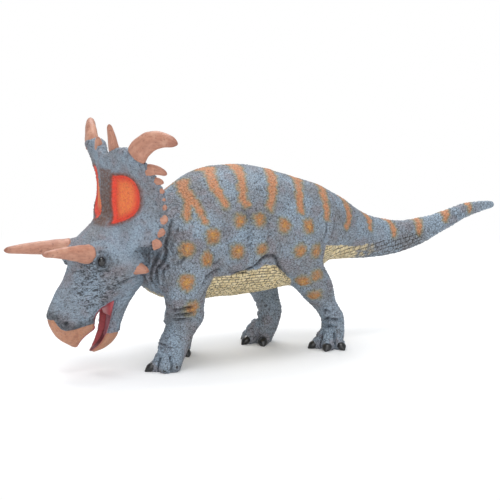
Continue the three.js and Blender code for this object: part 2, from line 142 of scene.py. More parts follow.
# %% Floor and soft light
WHITE = (1, 1, 1, 1)
SMOOTH = dict(interpolation_type="SMOOTHSTEP")
HALF_FLOOR = 6000.0  # mm
CLEAR_FROM, CLEAR_AT = 0.1, 0.21  # metres from the middle: the floor's shading fades into plain white
corners = HALF_FLOOR * np.array([[-1, -1, 0], [1, -1, 0], [1, 1, 0], [-1, 1, 0]])
floor = bpy.data.objects.new("floor", mesh_of("floor", corners, np.array([[0, 1, 2], [0, 2, 3]])))
bpy.context.scene.collection.objects.link(floor)
paper, tree = material("white_paper_sweep")
diffuse = add(tree, "ShaderNodeBsdfDiffuse", Color=linear("#f4f4f4"))
lift = add(tree, "ShaderNodeEmission", Color=WHITE, Strength=0.08)
path = add(tree, "ShaderNodeLightPath")
mixed = add(tree, "ShaderNodeAddShader", i0=diffuse.outputs[0], i1=lift.outputs[0])
place = add(tree, "ShaderNodeTexCoord").outputs["Object"]
reach = add(tree, "ShaderNodeVectorMath", dict(operation="LENGTH"), i0=place).outputs["Value"]
away = add(tree, "ShaderNodeMapRange", SMOOTH, i0=reach, i1=CLEAR_FROM, i2=CLEAR_AT)
blank = add(tree, "ShaderNodeEmission", Color=WHITE, Strength=1.0)
faded = add(tree, "ShaderNodeMixShader", Fac=away.outputs[0], i1=mixed.outputs[0], i2=blank.outputs[0])
shown = add(tree, "ShaderNodeMixShader", Fac=path.outputs["Is Camera Ray"],
            i1=diffuse.outputs[0], i2=faded.outputs[0])
add(tree, "ShaderNodeOutputMaterial", Surface=shown.outputs[0])
floor.data.materials.append(paper)


def softbox(name, turn, rise, reach, width, power):
    """A square area lamp at a direction from the figure, facing it."""
    lamp = bpy.data.lights.new(name, "AREA")
    lamp.shape, lamp.size, lamp.energy = "SQUARE", width * MM, power
    holder = bpy.data.objects.new(name, lamp)
    bpy.context.scene.collection.objects.link(holder)
    place = AIM + reach * view_direction(turn, rise)
    holder.location = Vector(place * MM)
    holder.rotation_euler = Vector(AIM - place).to_track_quat("-Z", "Y").to_euler()


# turn and rise in degrees, reach and width in mm, power in watts
LAMPS = {"key": (-52, 78, 900, 560, 4.1), "fill": (-22, 24, 1000, 900, 3.1),
         "top": (160, 52, 900, 560, 4.2)}
for name, row in LAMPS.items():
    softbox(name, *row)
world = bpy.data.worlds.new("studio")
world.use_nodes = True
bpy.context.scene.world = world
tree = world.node_tree
tree.nodes.clear()
room = add(tree, "ShaderNodeBackground", Color=linear("#e9edf2"), Strength=0.6)
white = add(tree, "ShaderNodeBackground", Color=WHITE, Strength=1.0)
path = add(tree, "ShaderNodeLightPath")
seen = add(tree, "ShaderNodeMixShader", Fac=path.outputs["Is Camera Ray"],
           i1=room.outputs[0], i2=white.outputs[0])
add(tree, "ShaderNodeOutputWorld", Surface=seen.outputs[0])

# %% [markdown]
# ## Surfaces from tables
# A sculptor blocks the animal out in clay as tapering masses, then joins them. Here each mass
# is a loft: a table gives sections along a line, a smooth curve runs through the table, and
# every section is a rounded oval. The tables are shares of the CAD's own sizes, so the skin
# lies where the CAD solids lie. Cubes under a subdivision surface would be quicker to start,
# but their places could not be given in millimetres.

# %% Sizes shared with the CAD
BACK_LENGTH, BACK_HEIGHT, TRUNK_WIDTH, TAIL_LENGTH = 100.0, 62.0, 38.0, 63.4
HEAD_LENGTH, HEAD_DEPTH, HEAD_WIDTH = 38.0, 25.0, 26.0
TRUNK_MIDDLE = -6.45
FACE_SLOPE = math.radians(60)
POLL = np.array([TRUNK_MIDDLE - 0.5 * BACK_LENGTH, 0.0, 0.689 * BACK_HEIGHT])
FACE_DOWN = np.array([-math.cos(FACE_SLOPE), 0.0, -math.sin(FACE_SLOPE)])
FACE_OUT = np.array([-math.sin(FACE_SLOPE), 0.0, math.cos(FACE_SLOPE)])
X, Y, Z = np.eye(3)


# %% Curves and lofts
def spline(x, y, at):
    """Smooth curve through a table: cubic pieces whose slope at a row weighs both chords."""
    x, y = np.asarray(x, float), np.asarray(y, float)
    h = np.diff(x)[:, None]
    chord = np.diff(y, axis=0) / h
    slope = np.vstack([chord[:1], (chord[:-1] * h[1:] + chord[1:] * h[:-1]) / (h[:-1] + h[1:]), chord[-1:]])
    i = np.clip(np.searchsorted(x, at) - 1, 0, len(x) - 2)
    t = ((at - x[i])[:, None]) / h[i]
    return ((2 * t**3 - 3 * t**2 + 1) * y[i] + (t**3 - 2 * t**2 + t) * h[i] * slope[i]
            + (3 * t**2 - 2 * t**3) * y[i + 1] + (t**3 - t**2) * h[i] * slope[i + 1])


def read_rows(rows, at):
    """The other columns of a table, read smoothly at places in its first column."""
    return spline(rows[:, 0], rows[:, 1:], at).T


def oval(turn, power):
    """Rounded square: cos and sin of the turn, each to the power 2/power with its sign kept."""
    c, s = np.cos(turn), np.sin(turn)
    return np.sign(c) * np.abs(c) ** (2 / power), np.sign(s) * np.abs(s) ** (2 / power)


def tube(middles, across, up, wide, over, under, power, facets):
    """Grid of rings: middle + across*wide*cos + up*(over or under)*sin, one ring per middle."""
    c, s = oval(np.linspace(0, 2 * np.pi, facets, endpoint=False), power)
    tall = np.where(s > 0, np.asarray(over)[:, None], np.asarray(under)[:, None]) * s
    return (middles[:, None] + (np.asarray(wide)[:, None] * c)[..., None] * across
            + tall[..., None] * up)


def shell(grid):
    """Points and triangles of a closed skin over a grid of rings, each end fanned to its middle."""
    rings, facets = grid.shape[:2]
    points = np.vstack([grid.reshape(-1, 3), grid[0].mean(0), grid[-1].mean(0)])
    i = np.arange((rings - 1) * facets)
    j = i - i % facets + (i + 1) % facets
    walls = np.vstack([np.stack([i, j, j + facets], 1), np.stack([i, j + facets, i + facets], 1)])
    k = np.arange(facets)
    n = (k + 1) % facets
    last = (rings - 1) * facets
    ends = np.vstack([np.stack([n, k, np.full(facets, rings * facets)], 1),
                      np.stack([k + last, n + last, np.full(facets, rings * facets + 1)], 1)])
    triangles = np.vstack([walls, ends])
    a, b, c = points[triangles].transpose(1, 0, 2)
    volume = np.einsum("ij,ij->i", a, np.cross(b, c)).sum()
    return points, triangles if volume > 0 else triangles[:, ::-1]


def ellipsoid(middle, radii, along=X, up=Z, rings=24, facets=32):
    """Closed egg: rings at heights -cos(v), radius sin(v), stretched along three axes."""
    v = np.linspace(0.02, np.pi - 0.02, rings)[:, None]
    u = np.linspace(0, 2 * np.pi, facets, endpoint=False)
    side = np.cross(up, along)
    unit = ((-np.cos(v) * radii[0])[..., None] * along
            + (np.sin(v) * np.cos(u) * radii[1])[..., None] * side
            + (np.sin(v) * np.sin(u) * radii[2])[..., None] * up)
    return shell(np.asarray(middle) + unit)


def join(shells):
    """Several shells as one set of points and triangles."""
    start = np.cumsum([0] + [len(p) for p, _ in shells[:-1]])
    return np.vstack([p for p, _ in shells]), np.vstack([t + s for (_, t), s in zip(shells, start)])


# %% [markdown]
# ## Joining and smoothing clay
# Voxel remeshing does what a thumb does between two lumps of clay: it makes one skin out of
# overlapping masses. A Boolean union would join them too, but with a sharp edge and uneven
# triangles. Relaxing then rounds the joins: each point moves towards the mean of its
# neighbours.


# %% Fuse, relax and normals
def fuse(shells, voxel):
    """One skin round overlapping shells, with points about one voxel (mm) apart."""
    points, triangles = join(shells)
    block = bpy.data.objects.new("clay", mesh_of("clay", points, triangles))
    bpy.context.scene.collection.objects.link(block)
    remesh = block.modifiers.new("fuse", "REMESH")
    remesh.mode, remesh.voxel_size, remesh.adaptivity = "VOXEL", voxel * MM, 0.0
    shaped = block.evaluated_get(bpy.context.evaluated_depsgraph_get())
    mesh = shaped.to_mesh()
    mesh.calc_loop_triangles()
    co = np.empty(3 * len(mesh.vertices), np.float32)
    mesh.vertices.foreach_get("co", co)
    corners = np.empty(3 * len(mesh.loop_triangles), np.int32)
    mesh.loop_triangles.foreach_get("vertices", corners)
    shaped.to_mesh_clear()
    bpy.data.objects.remove(block)
    return co.reshape(-1, 3).astype(float) / MM, corners.reshape(-1, 3)


def triangle_edges(triangles):
    """The three edges of every triangle, as pairs of point numbers."""
    return np.vstack([triangles[:, [0, 1]], triangles[:, [1, 2]], triangles[:, [2, 0]]])


def relax(points, triangles, rounds, weight=1.0):
    """Each round moves a point by weight/2 of the way to its neighbours' mean."""
    a, b = np.unique(np.sort(triangle_edges(triangles), 1), axis=0).T
    count = np.bincount(a, minlength=len(points)) + np.bincount(b, minlength=len(points))
    share = (0.5 * np.broadcast_to(weight, len(points)))[:, None]
    for _ in range(rounds):
        total = np.stack([np.bincount(a, points[b, k], len(points))
                          + np.bincount(b, points[a, k], len(points)) for k in range(3)], 1)
        points = points + share * (total / count[:, None] - points)
    return points


def normals(points, triangles):
    """Unit normals at the points: the sum of the face normals round each, by area."""
    a, b, c = points[triangles].transpose(1, 0, 2)
    face = np.cross(b - a, c - a)
    total = np.stack([sum(np.bincount(triangles[:, i], face[:, k], len(points)) for i in range(3))
                      for k in range(3)], 1)
    return total / np.maximum(np.linalg.norm(total, axis=1), 1e-12)[:, None]


# %% [markdown]
# ## Patterns in space
# Scales and blotches come from two old tricks, worked out for all points at once: cell noise,
# which tells how near a point is to the border between two random cells, and value noise,
# which is a smooth random field. Both depend only on the place in space, so pieces that meet
# at a seam carry on each other's pattern. A bump texture would be cheaper, but only relief in
# the mesh shows in the outline and in a printed copy.


# %% Cell noise and value noise
def scatter(cube, seed):
    """Three shares from 0 to 1 for each whole-number cube, by a fixed integer hash."""
    h = (cube[..., 0] * 73856093) ^ (cube[..., 1] * 19349663) ^ (cube[..., 2] * 83492791) ^ (seed * 2654435)
    h = ((h ^ (h >> 13)) * 1274126177) & 0xFFFFFFFF
    h = ((h ^ (h >> 16)) * 2246822519) & 0xFFFFFFFF
    h = h ^ (h >> 15)
    return np.stack([(h >> shift & 1023) / 1023 for shift in (0, 10, 20)], -1)


def cells(points, size, seed):
    """Border width and tone: (second - first distance) to jittered cell points, in mm, and a
    random share for the nearest cell."""
    q = points / size
    base = np.floor(q).astype(np.int64)
    first = np.full(len(points), 9.0)
    second = first.copy()
    tone = np.zeros(len(points))
    for step in product((-1, 0, 1), repeat=3):
        cube = base + step
        spot = scatter(cube, seed)
        d = ((cube + 0.15 + 0.7 * spot - q) ** 2).sum(1)
        closer = d < first
        second = np.where(closer, first, np.minimum(second, d))
        tone = np.where(closer, spot[:, 0], tone)
        first = np.where(closer, d, first)
    return (np.sqrt(second) - np.sqrt(first)) * size, tone


def drift(points, size, seed):
    """Value noise from -1 to 1: random corner values of a cube lattice, smoothly mixed."""
    q = points / size
    base = np.floor(q).astype(np.int64)
    t = q - base
    t = t * t * (3 - 2 * t)
    total = np.zeros(len(points))
    for step in product((0, 1), repeat=3):
        weight = np.prod(np.where(np.array(step) == 1, t, 1 - t), axis=1)
        total += weight * scatter(base + step, seed)[:, 0]
    return 2 * total - 1


def ease(low, high, x):
    """0 below low, 1 above high, and 3t^2 - 2t^3 between."""
    t = np.clip((x - low) / (high - low), 0, 1)
    return t * t * (3 - 2 * t)


def peak(distance, width, at=0.0):
    """exp(-((distance - at)/width)^2): 1 at one distance, and less on both sides of it."""
    return np.exp(-((distance - at) / width) ** 2)


def distance(points, place):
    """Distance in mm from each point to one place."""
    return np.linalg.norm(points - place, axis=1)


def line_distance(points, line):
    """Distance from points in a plane or in space to a chain of points, and the share along it."""
    line = np.asarray(line, float)
    start, step = line[:-1], np.diff(line, axis=0)
    length = np.linalg.norm(step, axis=1)
    run = np.concatenate([[0], np.cumsum(length)])
    best, share = np.full(len(points), np.inf), np.zeros(len(points))
    for k in range(len(step)):
        t = np.clip(((points - start[k]) @ step[k]) / length[k] ** 2, 0, 1)
        d = np.linalg.norm(points - start[k] - t[:, None] * step[k], axis=1)
        share = np.where(d < best, (run[k] + t * length[k]) / run[-1], share)
        best = np.minimum(best, d)
    return best, share


# %% [markdown]
# ## The body in clay
# Trunk and tail are one loft from the neck to the tail tip. Each leg is a loft of its own that
# leans and steps as in the walking pose, and the toes are small eggs round the foot. The real
# master was one lump of clay, so all of them are fused before any detail goes on.

# %% Tables of the body
# place along the back, underside, top, half width
TRUNK = np.array([
    [-0.45, 0.5, 0.75, 0.25], [-0.4, 0.42, 0.77, 0.33], [-0.34, 0.35, 0.8, 0.395],
    [-0.27, 0.322, 0.888, 0.44], [-0.18, 0.316, 0.965, 0.475], [-0.08, 0.314, 0.982, 0.5],
    [0.02, 0.32, 0.963, 0.5], [0.12, 0.345, 0.912, 0.475], [0.2, 0.388, 0.865, 0.42],
    [0.25, 0.432, 0.836, 0.37], [0.3, 0.437, 0.788, 0.316],
])
TAIL = np.array([
    [0.07, 0.432, 0.742, 0.275], [0.15, 0.424, 0.684, 0.226], [0.24, 0.42, 0.639, 0.184],
    [0.35, 0.424, 0.606, 0.15], [0.47, 0.444, 0.59, 0.12], [0.58, 0.476, 0.6, 0.1],
    [0.7, 0.523, 0.622, 0.082], [0.82, 0.573, 0.65, 0.064], [0.93, 0.595, 0.654, 0.047],
    [1, 0.607, 0.645, 0.032],
])
# height, middle of the left and of the right leg, half length, side place of the left and of the
# right leg, half width
FRONT_LEG = np.array([
    [0, -0.36, -0.213, 0.034, 0.303, 0.236, 0.092], [0.021, -0.359, -0.212, 0.037, 0.303, 0.236, 0.098],
    [0.065, -0.349, -0.208, 0.04, 0.298, 0.245, 0.112], [0.13, -0.338, -0.204, 0.046, 0.284, 0.262, 0.126],
    [0.19, -0.32, -0.199, 0.047, 0.289, 0.287, 0.129], [0.26, -0.297, -0.176, 0.053, 0.303, 0.303, 0.137],
    [0.32, -0.305, -0.168, 0.059, 0.324, 0.324, 0.142], [0.38, -0.312, -0.176, 0.067, 0.347, 0.347, 0.135],
    [0.48, -0.3, -0.204, 0.076, 0.37, 0.37, 0.118], [0.59, -0.288, -0.224, 0.076, 0.382, 0.382, 0.108],
    [0.68, -0.28, -0.239, 0.06, 0.374, 0.374, 0.09], [0.735, -0.276, -0.244, 0.036, 0.36, 0.36, 0.055],
])
HIND_LEG = np.array([
    [0, 0.246, 0.089, 0.034, 0.25, 0.224, 0.092], [0.021, 0.247, 0.09, 0.037, 0.25, 0.224, 0.098],
    [0.068, 0.254, 0.106, 0.035, 0.246, 0.224, 0.11], [0.113, 0.255, 0.119, 0.032, 0.242, 0.229, 0.114],
    [0.178, 0.245, 0.126, 0.037, 0.246, 0.242, 0.114], [0.242, 0.213, 0.114, 0.043, 0.263, 0.263, 0.119],
    [0.29, 0.189, 0.105, 0.053, 0.284, 0.284, 0.126], [0.347, 0.165, 0.1, 0.066, 0.316, 0.316, 0.132],
    [0.405, 0.14, 0.096, 0.069, 0.35, 0.35, 0.132], [0.48, 0.098, 0.085, 0.08, 0.385, 0.385, 0.122],
    [0.59, 0.07, 0.072, 0.104, 0.412, 0.412, 0.112], [0.69, 0.065, 0.068, 0.095, 0.41, 0.41, 0.1],
    [0.755, 0.065, 0.066, 0.062, 0.392, 0.392, 0.08],
])
LEGS = {
    "front_leg_left": (FRONT_LEG, -1), "front_leg_right": (FRONT_LEG, 1),
    "hind_leg_left": (HIND_LEG, -1), "hind_leg_right": (HIND_LEG, 1),
}
TRUNK_POWER, LIMB_POWER = 2.2, 2.35  # how square the ovals are
WIDEST = 0.46  # share of the trunk's height
TAIL_GAP = 0.3  # mm between the trunk and the tail


# %% Trunk and tail, then legs
def trunk_rows():
    """Trunk and tail rows in mm: place, underside, top, half width."""
    tail = TAIL * [TAIL_LENGTH, BACK_HEIGHT, BACK_HEIGHT, TRUNK_WIDTH]
    tail[:, 0] += TRUNK[-1, 0] * BACK_LENGTH + TAIL_GAP
    rows = np.vstack([TRUNK * [BACK_LENGTH, BACK_HEIGHT, BACK_HEIGHT, TRUNK_WIDTH], tail])
    rows[:, 0] += TRUNK_MIDDLE
    return rows


def trunk_shell():
    """Loft from neck to tail tip; the widest level lies at a share of each section's height."""
    rows = trunk_rows()
    x = np.linspace(rows[0, 0], rows[-1, 0], 160)
    low, high, half = read_rows(rows, x)
    level = low + (high - low) * WIDEST
    middles = np.stack([x, 0 * x, level], 1)
    return shell(tube(middles, Y, Z, half, high - level, level - low, TRUNK_POWER, facets=96))


def leg_rows(table, side):
    """Leg rows in mm: height, middle x, middle y, half length, half width."""
    return np.stack([
        table[:, 0] * BACK_HEIGHT, TRUNK_MIDDLE + table[:, 1 if side < 0 else 2] * BACK_LENGTH,
        side * table[:, 4 if side < 0 else 5] * TRUNK_WIDTH,
        table[:, 3] * BACK_LENGTH, table[:, 6] * TRUNK_WIDTH,
    ], 1)


def leg_shell(table, side):
    """Loft from the sole to the leg's top; the sole starts a little under the ground."""
    rows = leg_rows(table, side)
    z = np.linspace(rows[0, 0], rows[-1, 0], 90)
    x, y, long, wide = read_rows(rows, z)
    z = np.where(z < 0.3, -0.5, z)
    return shell(tube(np.stack([x, y, z], 1), X, Y, long, wide, wide, LIMB_POWER, facets=64))


def leg_room(points, table, side):
    """Roughly the distance in mm from a leg's loft, negative inside it."""
    rows = leg_rows(table, side)
    z = np.clip(points[:, 2], rows[0, 0], rows[-1, 0])
    x, y, long, wide = read_rows(rows, z)
    r = (np.abs((points[:, 0] - x) / long) ** LIMB_POWER
         + np.abs((points[:, 1] - y) / wide) ** LIMB_POWER) ** (1 / LIMB_POWER)
    beside = (r - 1) * np.minimum(long, wide)
    above = points[:, 2] - rows[-1, 0]
    return np.where(above > 0, np.hypot(np.maximum(beside, 0), above), beside)


# degrees from straight ahead to the outer side, reach and thickness of each toe
FRONT_TOES = [(-80, 4.4, 1.6), (-10, 5.0, 1.75), (46, 4.6, 1.7), (90, 3.7, 1.5)]
HIND_TOES = [(-80, 4.4, 1.6), (-10, 5.0, 1.75), (46, 4.9, 1.75), (100, 4.6, 1.6)]


def toe_way(angle, side):
    """Direction on the ground, in degrees from straight ahead to the leg's outer side."""
    a = math.radians(angle)
    return np.array([-math.cos(a), side * math.sin(a), 0.0])


def toe_places(table, side):
    """Foot middle and, per toe, its direction on the ground and its sizes."""
    foot = leg_rows(table, side)[1]
    middle = np.array([foot[1], foot[2], 0.0])
    rows = FRONT_TOES if table is FRONT_LEG else HIND_TOES
    return middle, [(toe_way(angle, side), sizes) for angle, *sizes in rows]


# the three eggs of a toe: share of its reach, height, share of its thickness
TOE_EGGS = [(0.4, 5.6, 0.9), (0.66, 3.8, 1.0), (0.93, 1.6, 1.08)]


def toe_shells(table, side):
    """Three eggs for each toe, from the instep down to the ground."""
    middle, toes = toe_places(table, side)
    shells = []
    for way, (reach, thick) in toes:
        for out, height, girth in TOE_EGGS:
            shells.append(ellipsoid(middle + way * reach * out + Z * height,
                                    (girth * thick, girth * thick, 1.15 * girth * thick), way, Z))
    return shells


CLAY_VOXEL, SKIN_VOXEL = 0.8, 0.34  # mm
clay, clay_faces = fuse([trunk_shell()] + [leg_shell(*leg) for leg in LEGS.values()], CLAY_VOXEL)
nearness = np.min([np.abs(leg_room(clay, *leg)) for leg in LEGS.values()], axis=0)
on_trunk = ease(18, 24, clay[:, 2])
# the joins of the legs with the trunk are rounded most, the hips and the rest hardly
weight = 0.15 + 0.85 * on_trunk * (1 - ease(1.0, 3.5, nearness)) * (1 - ease(6, 10, clay[:, 0]))
clay = relax(clay, clay_faces, rounds=12, weight=weight)
toes = [toe for leg in LEGS.values() for toe in toe_shells(*leg)]
body, body_faces = fuse([(clay, clay_faces)] + toes, SKIN_VOXEL)
body = relax(body, body_faces, rounds=4)
body_normals = normals(body, body_faces)
print("body skin:", len(body), "points,", len(body_faces), "triangles")

# %% [markdown]
# ## Folds in the skin
# Thick skin folds where it bends: at the neck, the elbows, the ankles, and where the thigh
# meets the flank. They could be sculpted with a brush, but a line with a depth and a width can
# be moved and run again. The surface sinks along the line and rises beside it, and the sinking
# fades towards both ends.

# %% Lines of the folds on the animal's left side
# each fold: its depth and half width in mm, then points x, y, z
FOLDS = {
    "neck": [
        (0.75, 0.45, [(-43.6, -12.2, 41.8), (-44.3, -13.4, 37.7), (-45.4, -13, 34.5), (-46.8, -11.8, 33),
                      (-46.4, -10.8, 30.4), (-45, -9.2, 27.7), (-42.6, -7.6, 24.8)]),
        (0.75, 0.42, [(-43.4, -14.2, 35.2), (-45, -12.6, 32.3), (-44.3, -11.9, 29.8), (-43.4, -9.1, 26.3)]),
        (0.8, 0.45, [(-45.9, -12.4, 38.9), (-47.4, -11.9, 35.4), (-48, -10.6, 32.9), (-47.6, -9.1, 30.2),
                     (-45.9, -7.8, 27.5), (-42.9, -7.3, 25)]),
        (0.6, 0.45, [(-39.7, -8.7, 47.8), (-43.2, -12.3, 42.1), (-45, -12.7, 38.9)]),
        (0.5, 0.42, [(-39, -11.5, 46), (-41.3, -13.1, 41.7), (-43.6, -13.4, 38.2)]),
        (0.55, 0.42, [(-41.5, -6.5, 49.2), (-45.5, -9.8, 44.5), (-48, -10.8, 40)]),
    ],
    "front": [
        (0.55, 0.6, [(-42.7, -16.7, 34.4), (-41.1, -17.8, 35.9), (-39.5, -17.6, 37.2)]),
        (0.65, 0.55, [(-34.2, -18.3, 27), (-32.4, -18.3, 30), (-28.7, -17, 31.3), (-26, -17, 31.8)]),
        (0.4, 0.6, [(-30.2, -17.9, 33.6), (-27.3, -17.3, 34.3)]),
        (0.8, 0.42, [(-43, -13.5, 19.7), (-42.4, -15.4, 19.9), (-41.5, -16.6, 20), (-39.7, -17.6, 20.7),
                     (-37, -17.9, 21)]),
        (0.8, 0.42, [(-42.6, -12.9, 18), (-41.9, -14.7, 18.2), (-41.1, -15.8, 18.3), (-39.4, -17.1, 18.7),
                     (-36.8, -17.5, 19)]),
        (0.7, 0.42, [(-42.2, -12.5, 16.5), (-41.4, -14.3, 16.7), (-40.6, -15.4, 16.8), (-38.6, -16.7, 17)]),
        (0.6, 0.5, [(-44.6, -8.4, 8.3), (-44.6, -12, 8.5), (-42.5, -14.5, 8.9)]),
        (0.6, 0.5, [(-45.2, -9.4, 7.1), (-44.8, -13.2, 7.7), (-42.5, -15, 7.6)]),
    ],
    "hind": [
        (0.7, 0.5, [(13.7, -10.8, 11.9), (13.9, -13.5, 13), (15.7, -13.6, 12.2)]),
        (0.7, 0.5, [(15.1, -9.1, 9.1), (15.6, -12.6, 10.2), (17.8, -13.3, 9.6), (20.1, -13.2, 10)]),
        (0.6, 0.5, [(15.8, -7.9, 6.5), (16.3, -12.1, 7.6), (18.5, -13, 7.2)]),
        (0.45, 0.8, [(12.7, -15.3, 43), (12.7, -15.8, 40.2), (11.6, -16.3, 38.3), (11, -16.6, 37.1)]),
        (0.45, 0.8, [(16.7, -13.9, 42.3), (15.8, -14.8, 39.8), (14.4, -15.6, 37.2)]),
    ],
    "flank": [
        (0.8, 0.6, [(-24.6, -16.6, 30.5), (-21.6, -16.6, 29.8), (-18.1, -17, 30.1), (-14.7, -17.9, 31.7),
                    (-12.8, -18.5, 33.7), (-11.4, -18.6, 34.5), (-8.9, -18.6, 34.5), (-7.3, -18.4, 33.1),
                    (-6.4, -17.6, 30.8), (-2.6, -15.5, 27.3), (0.4, -12.9, 24.9)]),
        (0.3, 1.2, [(-10, -17.5, 47.7), (-10, -18.6, 42.1), (-11.1, -18.8, 36.5)]),
        (0.3, 1.6, [(-26, -17.5, 47), (-24, -18.5, 41), (-24.5, -18.5, 35)]),
        (0.3, 1.8, [(-17.5, -16, 51), (-17, -18.4, 43), (-18, -18.8, 36)]),
        (0.3, 1.6, [(-4, -17.5, 47), (-1, -17.8, 52)]),
    ],
}
CREASE_LEGS = {"front": FRONT_LEG, "hind": HIND_LEG}


def other_side(line, table):
    """The line mirrored to the right side, moved along with the right leg where a leg carries it."""
    line = np.array(line, float) * [1, -1, 1]
    if table is not None:
        shift = spline(table[:, 0] * BACK_HEIGHT, (table[:, 2:3] - table[:, 1:2]) * BACK_LENGTH,
                       np.clip(line[:, 2], 0, table[-1, 0] * BACK_HEIGHT))[:, 0]
        line[:, 0] += shift
    return line


def groove(points, line, depth, width):
    """-depth*exp(-(d/width)^2) in the line, plus 0.45*depth beside it, faded at both ends."""
    d, share = line_distance(points, line)
    fade = ease(0, 0.16, share) * (1 - ease(0.84, 1, share)) + 0.15
    return depth * fade * (0.45 * peak(d, width, 2 * width) - peak(d, width))


FLATTER = [1, 0.6, 1]  # sideways distance counts less, so a groove follows a skin beside its line
TOE_GAP = [(3.7, 6.5), (4.1, 4), (4.5, 2), (4.8, -3)]  # reach and height of the groove between toes
DEEPEST, HIGHEST = -1.3, 0.6  # mm
fold_depth = np.zeros(len(body))
for place, folds in FOLDS.items():
    far_share = 0.5 if place == "hind" else 1
    for depth, width, line in folds:
        near_path, far_path = np.array(line, float), other_side(line, CREASE_LEGS.get(place))
        for path, share in ((near_path, 1), (far_path, far_share)):
            fold_depth += groove(body * FLATTER, path * FLATTER, depth * share, width)
for table, side in LEGS.values():
    middle, toes = toe_places(table, side)
    for (one, _), (two, _) in zip(toes, toes[1:]):
        gap = (one + two) / np.linalg.norm(one + two)
        between = [middle + gap * out + Z * height for out, height in TOE_GAP]
        fold_depth += groove(body, between, depth=0.75, width=0.42)
# bands of fine wrinkles: middle x, z; half sizes in x, z; across which way; spacing; depth
WRINKLES = [
    (-45, 37, 5.5, 11, (1, 0.25), 1.5, 0.34), (-40.5, 46, 4, 5, (1, 0.35), 1.4, 0.3),
    (-40, 18.6, 7, 3.6, (0, 1), 1.3, 0.3), (-44, 8.6, 6, 3.4, (0, 1), 1.25, 0.26),
    (16, 10.5, 7, 4.5, (0.15, 1), 1.3, 0.26), (13.5, 40, 3.5, 6, (1, 0.2), 1.5, 0.16),
    (-26.5, 19.5, 7, 3.2, (0, 1), 1.35, 0.18), (5, 10, 6, 4, (0.15, 1), 1.4, 0.1),
    (-3, 30, 4, 5, (0.8, 0.6), 1.4, 0.14),
]
for x, z, reach_x, reach_z, way, spacing, depth in WRINKLES:
    inside = 1 - ease(0.5, 1, np.hypot((body[:, 0] - x) / reach_x, (body[:, 2] - z) / reach_z))
    run = body[:, 0] * way[0] + body[:, 2] * way[1] + 1.1 * drift(body, 3.5, seed=17)
    wave = run * 2 * np.pi / spacing
    crest = np.abs(np.sin(wave / 2)) ** 0.6
    fold_depth += depth * inside * (crest - 0.75) * (0.5 + ease(-0.5, 0.4, drift(body, 2.6, seed=18)))
fold_depth = np.clip(fold_depth, DEEPEST, HIGHEST)
print("folds reach from", round(fold_depth.min(), 2), "to", round(fold_depth.max(), 2), "mm")

# %% [markdown]
# ## The painter's plan for the body
# Stripes run over the back and thin out down the flanks. Round spots sit below them, each on
# a raised scale. The belly is cream up to the fold of the flank. For every point the plan
# holds a distance in mm, positive inside the colour, and the paint material turns it into
# colour with a soft airbrushed edge. A painted image would need an unwrapped skin and blur
# close up; distances need neither and stay sharp.

# %% Stripes, spots and belly as signed distances
# each stripe: half width at the back, in the middle, at the end; then points from the back down
STRIPES = [
    (1.9, 1.5, 0.9, [(-31.1, 0, 57), (-32.6, -3.1, 55.1), (-32.8, -8.1, 53.4), (-34.4, -9.7, 51.3),
                     (-35.5, -10.9, 49.4), (-36.1, -12.1, 47.7)]),
    (1.0, 1.1, 0.7, [(-32.6, -7.7, 53.7), (-32.3, -11, 51.6), (-31.7, -13.2, 49.4), (-31.3, -15, 46.8)]),
    (1.9, 1.25, 1.0, [(-21.8, 0, 60.4), (-24.0, -6.1, 58.4), (-25.0, -10.1, 56.2), (-24.7, -12.9, 54.1),
                      (-23.8, -15, 51.1)]),
    (2.0, 1.2, 1.1, [(-12.4, 0, 61), (-15.4, -9.9, 58), (-16.9, -13, 55.3), (-17.6, -15.1, 52.6),
                     (-17, -15.8, 51.3)]),
    (1.8, 1.3, 0.95, [(0.1, 0, 59.4), (-4.2, -10.3, 57), (-6.2, -13.5, 54.4), (-7.4, -15.5, 51.9),
                      (-8.9, -17.1, 49.6)]),
    (2.0, 1.4, 1.0, [(9.6, 0, 56.0), (4.8, -11.6, 53.1), (3.1, -14.4, 50.4), (2.4, -17, 47.6)]),
    (1.6, 1.2, 0.9, [(18.4, 0, 52.4), (14.6, -10.5, 49.7), (13.6, -13.1, 47), (12.9, -14.9, 43.8)]),
    (1.9, 1.1, 0.8, [(26.2, 0, 47.6), (24.6, -9.2, 44.3), (23.9, -10.5, 42), (22, -12.3, 39.8)]),
    (1.6, 1.0, 0.7, [(34.6, 0, 42.2), (34.9, -6.1, 39.1), (34.4, -7.5, 37.1)]),
    (1.5, 0.9, 0.7, [(44.7, 0, 38.2), (45.1, -4.7, 35.6), (44.8, -5.7, 33.5)]),
    (1.3, 0.8, 0.6, [(56.4, 0, 37.1), (55.9, -3.5, 35), (55, -4.3, 32.9)]),
    (1.2, 0.8, 0.6, [(67.4, 0, 38.6), (66.8, -2.3, 37.4), (66.4, -3, 36.2)]),
    (1.1, 0.8, 0.6, [(76.6, 0, 40.4), (76.4, -2.2, 38.8), (76.3, -2.4, 37.5)]),
]
# each stripe's own shift along the body on the right side, in mm
FAR_SLIP = [1.2, -0.8, -1.4, 0.9, 1.6, -1.2, 0.8, -0.9, 1.0, -0.7, 0.8, -0.6, 0.4]
